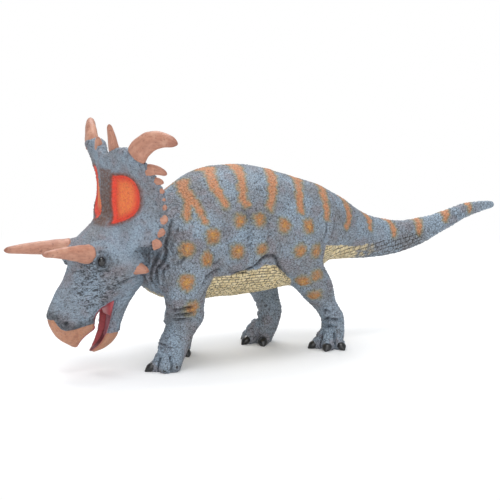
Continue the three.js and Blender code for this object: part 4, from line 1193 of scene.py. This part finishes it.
# %% Horn lofts
# forward, sideways, up from the poll: base, bend, tip
HORNS = {
    "brow_horn_left": (-1, [(0.322, 0.3, -0.1), (0.55, 0.41, -0.04), (0.81, 0.52, -0.026)]),
    "brow_horn_right": (1, [(0.285, 0.3, -0.115), (0.55, 0.41, -0.1), (0.81, 0.52, -0.115)]),
    "frill_hook_left": (-1, [(-0.045, 0.535, 0.715), (-0.105, 0.71, 0.92), (-0.222, 1.07, 0.84)]),
    "frill_hook_right": (1, [(-0.022, 0.535, 0.69), (-0.07, 0.76, 0.885), (-0.21, 1.075, 0.79)]),
    "frill_spike_left": (-1, [(0.0, 0.1, 0.7), (0.022, 0.09, 0.83), (0.042, 0.075, 0.93)]),
    "frill_spike_right": (1, [(0.02, 0.235, 0.7), (0.036, 0.215, 0.745), (0.05, 0.19, 0.8)]),
}
# half width through the frill, along the frill, at the tip, and how fast the horn tapers
GIRTHS = {
    "brow_horn_left": (3.1, 3.3, 0.8, 1.0), "brow_horn_right": (2.8, 2.8, 0.75, 0.7),
    "frill_hook_left": (2.7, 4.15, 1.0, 0.65), "frill_hook_right": (2.0, 3.4, 0.9, 0.6),
    "frill_spike_left": (1.7, 2.1, 0.6, 0.75), "frill_spike_right": (1.5, 1.7, 0.6, 0.7),
}
RIDGE = 0.05  # height of the ridges as a share of the half width
GRAIN_PITCH = 0.16  # how fast the brushed streaks change along a horn, per mm


def horn_shell(line, through, along, tip, taper, rings=56, facets=40):
    """Rings round a bent line: half width tip + (base - tip)*(1 - t)^taper, rounded off at the
    tip. Returns points, triangles, and per point the grain direction and the share along."""
    a, b, c = (np.asarray(p, float) for p in line)
    t = 1 - np.linspace(1, 0, rings) ** 1.5
    s = t[:, None]
    middle = (1 - s) ** 2 * a + 2 * s * (1 - s) * b + s**2 * c
    tangent = 2 * (1 - s) * (b - a) + 2 * s * (c - b)
    tangent /= np.linalg.norm(tangent, axis=1)[:, None]
    level = np.where(np.abs(tangent[:, :1]) < 0.85, X, Z)
    over = level - (tangent * level).sum(1)[:, None] * tangent
    over /= np.linalg.norm(over, axis=1)[:, None]
    up = np.cross(tangent, over)
    length = np.linalg.norm(np.diff(middle, axis=0), axis=1).sum()
    left = (1 - t) * length
    cap = np.sqrt(np.clip(1 - (1 - np.clip(left / (2.2 * tip), 0, 1)) ** 2, 0, 1)) * 0.97 + 0.03
    swell = (1 - t) ** taper
    wide, tall = ((tip + (w - tip) * swell) * cap for w in (through, along))
    turn = np.linspace(0, 2 * np.pi, facets, endpoint=False)
    waves = (np.sin(7 * turn + 9 * s) * 0.4 + np.sin(17 * turn - 4 * s) * 0.3
             + np.sin(length * s * 1.3 + 2 * np.cos(turn)) * 0.5)
    ridges = 1 + RIDGE * (1 - t)[:, None] * waves
    grid = middle[:, None] + ((wide[:, None] * np.cos(turn) * ridges)[..., None] * over[:, None]
                              + (tall[:, None] * np.sin(turn) * ridges)[..., None] * up[:, None])
    points, triangles = shell(grid)
    share = np.concatenate([np.repeat(t, facets), [0, 1]])
    around = np.tile(turn, rings)
    grain = np.stack([np.cos(around), np.sin(around), np.repeat(t, facets) * length * GRAIN_PITCH], 1)
    grain = np.vstack([grain, [0, 0, 0], [0, 0, length * GRAIN_PITCH]])
    return points, triangles, grain, share


horns = {name: horn_shell([on_head(*place, side) for place in line], *GIRTHS[name])
         for name, (side, line) in HORNS.items()}

# side place, height, reach, half width of the points on the frill's edge
RIM_POINTS = [
    (0.67, 0.59, 1.6, 0.5), (0.705, 0.5, 0.6, 0.36), (0.725, 0.42, 0.25, 0.3),
    (0.735, 0.35, 0.1, 0.27), (0.74, 0.285, 0.12, 0.34), (0.738, 0.185, 0.2, 0.5),
    (0.72, 0.08, 0.25, 0.46), (0.7, -0.018, 0.4, 0.5),
]
# the point on each cheek: forward, sideways, up from the poll at its base, middle and tip
CHEEK_POINT = [(-0.075, 0.42, -0.232), (-0.11, 0.49, -0.24), (-0.145, 0.555, -0.258)]
small_points = []
for side in (-1, 1):
    for sideways, up, reach, half in RIM_POINTS:
        y, z = side * sideways * HEAD_WIDTH, up * HEAD_LENGTH
        edge = POLL + [frill_front(y, z) + 0.5 * RIM_THICK, y, z]
        outward = np.array([0.75, side, 0]) / 1.25
        base, tip = edge - 1.6 * outward, edge + reach * RIM_THICK * outward
        bend = 0.5 * (base + tip) + 0.7 * reach * Z
        small_points.append(horn_shell(
            [base, bend, tip - 0.5 * reach * Z], through=0.62 * half * RIM_THICK,
            along=1.15 * half * RIM_THICK, tip=0.45, taper=0.5, rings=22, facets=24))
    line = [on_head(*place, side) for place in CHEEK_POINT]
    small_points.append(horn_shell(line, through=2.3, along=2.3, tip=0.6, taper=0.85, rings=24, facets=24))
EYEBALL = (1.25, 1.25, 1.5)  # half sizes in mm
eyes = [ellipsoid(np.array(EYE) * [1, -side, 1] + [0.1, -0.25 * side, 0], EYEBALL, along=Y)
        for side in (1, -1)]
print("small points:", len(small_points))

# %% [markdown]
# ## Claws
# Each toe ends in a blunt nail, painted gloss black. The nails are small eggs, wider than
# tall, set into the toes and cut flat where they touch the ground.

# %% Claws of the four feet
# angle of the toe, reach, height, half length, half width, thickness
CLAWS = {
    "front_leg_left": [(-80, 5.6, 1.3, 1.9, 1.3, 1.1), (-10, 6.0, 1.4, 2.5, 1.45, 1.3),
                       (46, 5.6, 1.0, 0.7, 0.6, 0.5), (90, 4.6, 1.9, 0.8, 0.6, 0.5)],
    "front_leg_right": [(-82, 6.7, 1.1, 2.3, 1.5, 1.3), (-10, 6.0, 1.4, 2.4, 1.4, 1.25),
                        (46, 5.6, 1.0, 0.7, 0.6, 0.5)],
    "hind_leg_left": [(-80, 5.6, 1.2, 1.9, 1.35, 1.15), (-10, 6.2, 1.2, 2.1, 1.45, 1.25),
                      (46, 6.0, 1.2, 2.1, 1.6, 1.25), (96, 5.6, 1.25, 2.0, 1.5, 1.2)],
    "hind_leg_right": [(-66, 6.0, 1.2, 2.2, 1.6, 1.25), (-10, 6.3, 1.3, 2.3, 1.45, 1.25),
                       (46, 5.4, 1.2, 1.7, 1.3, 1.1), (98, 5.5, 1.2, 1.9, 1.4, 1.15)],
}


def claw_shells(name):
    """Eggs at the front of the toes, tilted down to the ground and cut there."""
    table, side = LEGS[name]
    middle = toe_places(table, side)[0]
    made = []
    for angle, reach, height, long, wide, thick in CLAWS[name]:
        way = toe_way(angle, side)
        seat = middle + way * reach + Z * height
        slope = way * 0.84 - Z * 0.54
        up = np.cross(slope, np.cross(Z, way))
        points, triangles = ellipsoid(seat, (long, wide, thick), slope / np.linalg.norm(slope),
                                      up / np.linalg.norm(up), rings=20, facets=28)
        forward = (points - seat) @ slope
        spine = seat + forward[:, None] * slope
        points = spine + (points - spine) * (1 - 0.45 * ease(0.2, 1, forward / long))[:, None]
        made.append(cut(points, triangles, np.zeros((len(points), 1)), -points[:, 2],
                        np.append((middle + way * reach)[:2], 0.0))[:2])
    return made


# %% [markdown]
# ## Paint on PVC
# The toy is moulded PVC: a soft plastic, dull where it is painted. The painter sprays a blue
# grey, wipes a dark wash into the relief, and adds stripes and spots with an airbrush. The dark
# coat also carries painted shade in the folds and hollows, and some zones are painted lighter as
# painted highlights. One mixed colour per zone would look printed, so the materials follow
# the painter's order: each coat is a colour and a mask, laid over the last one.


# %% Coats of paint
COLOURS = dict(data_type="RGBA")
TIMES, TIMES_PLUS = dict(operation="MULTIPLY"), dict(operation="MULTIPLY_ADD")


def coats(tree, under, table, worn_by):
    """Lays colours over each other. Each row: colour, attribute or socket, low, high, strength,
    and how much of the mask the rough grain takes away."""
    for colour, value, low, high, strength, bite in table:
        if isinstance(value, str):
            field = dict(attribute_name=value)
            value = add(tree, "ShaderNodeAttribute", field).outputs["Fac"]
        mask = add(tree, "ShaderNodeMapRange", SMOOTH,
                   i0=value, i1=low, i2=high, i3=0.0, i4=strength).outputs[0]
        if bite:
            worn = add(tree, "ShaderNodeMapRange", i0=worn_by, i1=0.36, i2=0.58, i3=1 - bite, i4=1.0)
            mask = add(tree, "ShaderNodeMath", TIMES, i0=mask, i1=worn.outputs[0]).outputs[0]
        under = add(tree, "ShaderNodeMix", COLOURS, i0=mask, i6=under, i7=linear(colour)).outputs[2]
    return under


def coated(tree, colour, bump, roughness, depth, **inputs):
    """Principled shader with the colour, a fine bump (depth in mm), more inputs, and the output."""
    relief = add(tree, "ShaderNodeBump", Strength=0.6, Distance=depth * MM, Height=bump)
    shader = add(tree, "ShaderNodeBsdfPrincipled", Base_Color=colour, Normal=relief.outputs[0],
                 Roughness=roughness, IOR=1.5, **inputs)
    add(tree, "ShaderNodeOutputMaterial", Surface=shader.outputs[0])


def skin_ground(tree, scale_size, crack):
    """Sprayed and brushed ground of the skin, with scales of a size in mm and the strength of the
    dark lines between them: returns the colour, a fine grain, the relief, the speckle and the
    lines. A texture's Scale counts its repeats in a metre, so 1000 / 11 is one in 11 mm."""
    place = add(tree, "ShaderNodeTexCoord").outputs["Object"]
    blotch = add(tree, "ShaderNodeTexNoise", Vector=place, Scale=1000 / 11, Detail=3.0,
                 Roughness=0.6).outputs[0]
    patch = add(tree, "ShaderNodeTexNoise", Vector=place, Scale=1000 / 5, Detail=2.0,
                Roughness=0.5).outputs[0]
    grain = add(tree, "ShaderNodeTexNoise", Vector=place, Scale=1000 / 0.8, Detail=3.0, Roughness=0.65)
    speckle = add(tree, "ShaderNodeTexNoise", Vector=place, Scale=1000 / 0.42, Detail=2.0,
                  Roughness=0.6).outputs[0]
    waver = add(tree, "ShaderNodeVectorMath", TIMES_PLUS, i0=grain.outputs["Color"], i1=(0.5 * MM,) * 3,
                i2=place)
    gaps = add(tree, "ShaderNodeTexVoronoi", dict(feature="DISTANCE_TO_EDGE"), Vector=waver.outputs[0],
               Scale=1000 / scale_size).outputs["Distance"]
    scales = add(tree, "ShaderNodeTexVoronoi", dict(feature="F1"), Vector=waver.outputs[0],
                 Scale=1000 / scale_size).outputs["Color"]
    mottle = add(tree, "ShaderNodeMapRange", i0=blotch, i1=0.38, i2=0.62).outputs[0]
    colour = add(tree, "ShaderNodeMix", COLOURS, i0=mottle, i6=linear("#868a90"),
                 i7=linear("#95a6b6")).outputs[2]
    colour = coats(tree, colour, [
        ("#8b858b", patch, 0.47, 0.64, 0.7, 0.0),
        # painted highlights: a lighter blue where the highlight zones lie
        ("#9aadbe", "painted_highlight", 0.2, 1.0, 0.7, 0.2),
        ("#a6b2be", scales, 0.6, 1.0, 0.35, 0.3),
        ("#666d75", scales, 0.35, 0.0, 0.35, 0.0),
        ("#43484f", speckle, 0.42, 0.32, 0.5, 0.0),
        ("#363b41", gaps, 0.12, 0.02, crack, 1.2),
    ], grain.outputs[0])
    low = add(tree, "ShaderNodeMapRange", SMOOTH, i0=gaps, i1=0.0, i2=0.2, i3=-0.8, i4=0.4)
    mixed = add(tree, "ShaderNodeMath", dict(operation="ADD"), i0=grain.outputs[0], i1=speckle)
    relief = add(tree, "ShaderNodeMath", dict(operation="ADD"), i0=mixed.outputs[0],
                 i1=low.outputs[0]).outputs[0]
    return colour, grain.outputs[0], relief, speckle, gaps


def body_paint():
    """Moulded PVC, sprayed blue grey, washed dark with painted shade in folds and hollows, striped and
    spotted orange, cream below.
    """
    made, tree = material("sprayed_pvc_body_skin")
    colour, grain, relief, speckle, gaps = skin_ground(tree, scale_size=0.85, crack=0.72)
    place = add(tree, "ShaderNodeTexCoord").outputs["Object"]
    along = add(tree, "ShaderNodeSeparateXYZ", Vector=place).outputs["X"]
    girth, belly, bricks, wash_and_shade, tone = [
        add(tree, "ShaderNodeAttribute", dict(attribute_name=name)).outputs["Fac"]
        for name in ("girth", "belly", "bricks", "wash_and_shade", "tone")]
    girth = add(tree, "ShaderNodeMath", TIMES, i0=girth, i1=MM)
    row = add(tree, "ShaderNodeCombineXYZ", X=along, Y=girth.outputs[0])
    bend = add(tree, "ShaderNodeTexNoise", Vector=place, Scale=1000 / 4, Detail=3.0)
    bent = add(tree, "ShaderNodeVectorMath", TIMES_PLUS, i0=bend.outputs["Color"],
               i1=(1.6 * MM, 0.8 * MM, 0), i2=row.outputs[0])
    rows = add(tree, "ShaderNodeTexBrick", Vector=bent.outputs[0], Scale=1.0, Mortar_Size=0.16 * MM,
               Mortar_Smooth=0.5, Brick_Width=2 * MM, Row_Height=1.05 * MM).outputs["Fac"]
    below, bricked = [add(tree, "ShaderNodeMapRange", SMOOTH, i0=field, i1=-0.1, i2=0.3).outputs[0]
                      for field in (belly, bricks)]
    joints, hollows, plates = [add(tree, "ShaderNodeMath", TIMES, i0=field, i1=zone).outputs[0]
                               for field, zone in ((rows, bricked), (wash_and_shade, below), (tone, below))]
    colour = coats(tree, colour, [
        ("#8f8a62", "stripe", -1.5, 0.0, 0.85, 0.4),
        ("#d08a5e", "stripe", -0.7, 0.7, 0.95, 0.3),
        ("#8c8a60", "spot", -1.6, 0.1, 0.75, 0.4),
        ("#be7c44", "spot", -0.8, 1.1, 0.95, 0.45),
        ("#deaa52", "spot", 0.8, 2.0, 0.7, 0.4),
        ("#4a3a30", speckle, 0.42, 0.32, 0.45, 0.0),
        ("#3a3733", gaps, 0.1, 0.02, 0.55, 0.8),
        # dark wash in the scale seams, with painted shade in the folds, on the neck and in the hollow
        # behind the cheek
        ("#2b2d31", "wash_and_shade", 0.12, 0.9, 0.85, 0.35),
        ("#e2cc9b", "belly", -0.2, 0.3, 1.0, 0.1),
        ("#f2e5c2", plates, 0.1, 0.9, 0.6, 0.3),
        ("#2f2a24", joints, 0.05, 0.6, 0.9, 0.45),
        # the belly's share of the same wash and painted shade
        ("#332f2a", hollows, 0.4, 1.0, 0.7, 0.2),
    ], grain)
    rough = add(tree, "ShaderNodeMapRange", i0=grain, i1=0.3, i2=0.7, i3=0.5, i4=0.72)
    sunk = add(tree, "ShaderNodeMath", TIMES_PLUS, i0=joints, i1=-1.0, i2=relief)
    coated(tree, colour, sunk.outputs[0], rough.outputs[0], depth=0.16)
    return made


def head_paint():
    """The same skin with red frill windows, a brown bar between them, bare beak and mouth."""
    made, tree = material("sprayed_pvc_head_skin")
    colour, grain, relief, speckle = skin_ground(tree, scale_size=0.7, crack=0.5)[:4]
    place = add(tree, "ShaderNodeTexCoord").outputs["Object"]
    drawn = add(tree, "ShaderNodeVectorMath", TIMES, i0=place, i1=(0.65, 0.65, 1.5)).outputs[0]
    nicks = add(tree, "ShaderNodeTexNoise", Vector=drawn, Scale=1000 / 1.2, Detail=1.0, Roughness=0.4,
                Distortion=0.8).outputs[0]
    nicks = add(tree, "ShaderNodeMath", dict(operation="SUBTRACT"), i0=nicks, i1=0.5).outputs[0]
    nicks = add(tree, "ShaderNodeMath", dict(operation="ABSOLUTE"), i0=nicks).outputs[0]
    nicks = add(tree, "ShaderNodeMapRange", SMOOTH, i0=nicks, i1=0.085, i2=0.04).outputs[0]
    broken = add(tree, "ShaderNodeMapRange", i0=grain, i1=0.6, i2=0.48).outputs[0]
    muzzle, beak = [
        add(tree, "ShaderNodeAttribute", dict(attribute_name=name)).outputs["Fac"]
        for name in ("muzzle", "beak")]
    for part in (broken, muzzle):
        nicks = add(tree, "ShaderNodeMath", TIMES, i0=nicks, i1=part).outputs[0]
    beak = add(tree, "ShaderNodeMapRange", i0=beak, i1=0.0, i2=0.4).outputs[0]
    stain = add(tree, "ShaderNodeTexNoise", Vector=place, Scale=1000 / 2.6, Detail=3.0,
                Roughness=0.6).outputs[0]
    stain = add(tree, "ShaderNodeMath", TIMES, i0=stain, i1=beak).outputs[0]
    colour = coats(tree, colour, [
        ("#6d4c3a", "bar", -0.8, 0.6, 0.9, 0.5),
        ("#74402f", "window", -1.5, -0.2, 0.95, 0.3),
        ("#e64832", "window", -0.3, 0.3, 1.0, 0.1),
        ("#f08a4a", "window", 0.5, 3.4, 0.9, 0.5),
        ("#bd8668", "beak", -0.15, 0.15, 1.0, 0.1),
        ("#8e5646", stain, 0.5, 0.66, 0.5, 0.4),
        ("#a8505a", "mouth", -0.1, 0.3, 1.0, 0.0),
        ("#3a2622", speckle, 0.42, 0.32, 0.45, 0.0),
        ("#33373c", nicks, 0.05, 0.6, 0.9, 0.0),
        # dark wash with painted shade round the eyes, in the holes, above the beak and in the folds
        ("#2b2c30", "wash_and_shade", 0.15, 1.0, 0.88, 0.4),
    ], grain)
    rough = add(tree, "ShaderNodeMapRange", i0=grain, i1=0.3, i2=0.7, i3=0.48, i4=0.7)
    dented = add(tree, "ShaderNodeMath", TIMES_PLUS, i0=nicks, i1=-1.2, i2=relief)
    coated(tree, colour, dented.outputs[0], rough.outputs[0], depth=0.13)
    return made


def jaw_paint():
    """Head skin that turns into red gums, a trough painted dark as shade and a pink tongue, with a bare
    beak.
    """
    made, tree = material("sprayed_pvc_jaw_skin")
    colour, grain, relief, speckle = skin_ground(tree, scale_size=0.7, crack=0.45)[:4]
    colour = coats(tree, colour, [
        ("#b98568", "beak", -0.15, 0.15, 1.0, 0.1),
        ("#b9575b", "mouth", -0.3, 0.3, 1.0, 0.0),
        # painted shade: the trough's middle is painted dark maroon, partly the mouth's own colour
        ("#6e3036", "trough", 0.2, 0.8, 1.0, 0.0),
        ("#a05f69", "tongue", 0.3, 0.9, 1.0, 0.1),
        ("#3a2622", speckle, 0.42, 0.32, 0.3, 0.0),
        ("#2c343d", "wash_and_shade", 0.25, 1.0, 0.8, 0.4),
    ], grain)
    coated(tree, colour, relief, roughness=0.5, depth=0.1)
    return made


def horn_paint():
    """Flesh-coloured coat over moulded PVC, brushed light lengthwise, darker towards the tip, with a
    few specks."""
    made, tree = material("brushed_pvc_horn")
    run = add(tree, "ShaderNodeAttribute", dict(attribute_name="grain")).outputs["Vector"]
    place = add(tree, "ShaderNodeTexCoord").outputs["Object"]
    streak = add(tree, "ShaderNodeTexNoise", Vector=run, Scale=3.0, Detail=3.0, Roughness=0.5).outputs[0]
    speck = add(tree, "ShaderNodeTexNoise", Vector=place, Scale=1000 / 0.9, Detail=2.0,
                Roughness=0.5).outputs[0]
    cloud = add(tree, "ShaderNodeTexNoise", Vector=place, Scale=1000 / 4, Detail=2.0,
                Roughness=0.5).outputs[0]
    brushed = add(tree, "ShaderNodeMapRange", i0=streak, i1=0.35, i2=0.65).outputs[0]
    colour = add(tree, "ShaderNodeMix", COLOURS, i0=brushed, i6=linear("#ab7761"),
                 i7=linear("#bf8a73")).outputs[2]
    colour = coats(tree, colour, [
        ("#d4a58c", cloud, 0.5, 0.68, 0.5, 0.2),
        ("#8a5443", "along", 0.22, 0.0, 0.65, 0.3),
        ("#7a4a3c", speck, 0.6, 0.7, 0.5, 0.0),
    ], speck)
    coated(tree, colour, streak, roughness=0.48, depth=0.06)
    return made


def gloss_paint(name, colour, sheen, roughness):
    """Gloss enamel with faint lighter patches, partly dust and partly a painted sheen, for claws and eyes.
    """
    made, tree = material(name)
    place = add(tree, "ShaderNodeTexCoord").outputs["Object"]
    blot = add(tree, "ShaderNodeTexNoise", Vector=place, Scale=1000 / 1.5, Detail=2.0).outputs[0]
    # lighter patches: partly dust, partly a painted sheen
    dust_and_sheen = add(tree, "ShaderNodeMapRange", i0=blot, i1=0.5, i2=0.75, i3=0.0, i4=0.6).outputs[0]
    mixed = add(tree, "ShaderNodeMix", COLOURS, i0=dust_and_sheen, i6=linear(colour), i7=linear(sheen)).outputs[2]
    coated(tree, mixed, blot, roughness, depth=0.05, Coat_Weight=0.5, Coat_Roughness=0.15)
    return made


def gum_paint():
    """Satin red paint of the cheek skin inside the mouth."""
    made, tree = material("satin_painted_gum")
    place = add(tree, "ShaderNodeTexCoord").outputs["Object"]
    blot = add(tree, "ShaderNodeTexNoise", Vector=place, Scale=1000 / 2.2, Detail=3.0).outputs[0]
    colour = add(tree, "ShaderNodeMix", COLOURS, i6=linear("#a8444b"), i7=linear("#cb6166"),
                 i0=blot).outputs[2]
    coated(tree, colour, blot, roughness=0.4, depth=0.1)
    return made


PAINTS = {
    "body": body_paint(), "head": head_paint(), "jaw": jaw_paint(), "horn": horn_paint(),
    "claw": gloss_paint("gloss_enamel_claw", "#0f0f11", "#2a2927", roughness=0.32),
    "eye": gloss_paint("gloss_enamel_eye", "#0d0c0d", "#2a1c14", roughness=0.12),
    "gum": gum_paint(),
}
print("materials:", ", ".join(paint.name for paint in PAINTS.values()))

# %% [markdown]
# ## Pieces
# Every piece becomes one mesh object with its paint plan as attributes. It stands for the CAD
# node of the same name and rides on the body that carries the node. Nothing on the toy moves,
# so all pieces ride on the same body.


# %% Put the pieces into the frame
SEAM_FIELDS = ("nx", "ny", "nz", "edge")  # the whole skin's normal and the cut edge, only for shading


def build(name, parts):
    """One object from parts (points, triangles, paint, named values), with smooth faces. At a cut
    edge it takes the normals of the whole skin, so the shading runs on across the seam."""
    points, triangles = join([(p, t) for p, t, _, _ in parts])
    mesh = mesh_of(name + "_skin", points, triangles)
    values = {}
    start = 0
    for p, _, _, named in parts:
        for key, field in named.items():
            shape = (len(points),) + field.shape[1:]
            values.setdefault(key, np.zeros(shape))[start:start + len(p)] = field
        start += len(p)
    for key, field in values.items():
        if key in SEAM_FIELDS:
            continue
        kind = "FLOAT" if field.ndim == 1 else "FLOAT_VECTOR"
        layer = mesh.attributes.new(key, kind, "POINT")
        layer.data.foreach_set("value" if field.ndim == 1 else "vector", field.astype(np.float32).ravel())
    names = list(dict.fromkeys(part[2] for part in parts))
    for paint_name in names:
        mesh.materials.append(PAINTS[paint_name])
    index = np.concatenate([np.full(len(t), names.index(paint_name)) for _, t, paint_name, _ in parts])
    mesh.polygons.foreach_set("material_index", index.astype(np.int32))
    mesh.polygons.foreach_set("use_smooth", np.ones(len(triangles), bool))
    if "nx" in values:
        shade = normals(points, triangles)
        whole = np.stack([values["nx"], values["ny"], values["nz"]], 1)
        rim = values["edge"] > 0.5
        shade[rim] = whole[rim] / np.linalg.norm(whole[rim], axis=1)[:, None]
        mesh.normals_split_custom_set_from_vertices(shade)
    mesh.update()
    made = bpy.data.objects.new(name + "_visual", mesh)
    bpy.context.scene.collection.objects.link(made)
    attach(made, "root")
    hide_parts(name)
    low, high = points.min(0).round(1), points.max(0).round(1)
    print(f"{name}: {len(triangles)} triangles, {low} to {high} mm")


def horn_part(made):
    """A horn loft as a part for build."""
    points, triangles, grain, along = made
    return points, triangles, "horn", {"grain": grain, "along": 1 - along}


for name in ["torso", "tail", *LEGS]:
    points, triangles, fields = pieces[name]
    parts = [(points, triangles, "body", dict(zip(FIELDS, fields.T)))]
    if name in LEGS:
        parts += [(p, t, "claw", {}) for p, t in claw_shells(name)]
    build(name, parts)
points, triangles, fields = pieces["head"]
build("head", [(points, triangles, "head", dict(zip(HEAD_FIELDS, fields.T)))]
      + [horn_part(point) for point in small_points] + [(p, t, "eye", {}) for p, t in eyes])
build("lower_jaw", [(jaw, jaw_faces, "jaw", jaw_plan), (*cheek_skin, "gum", {})])
for name, made in horns.items():
    build(name, [horn_part(made)])

# %% [markdown]
# ## Finish
# The scene's view layer is updated once more.

# %% Update the scene
bpy.context.view_layer.update()
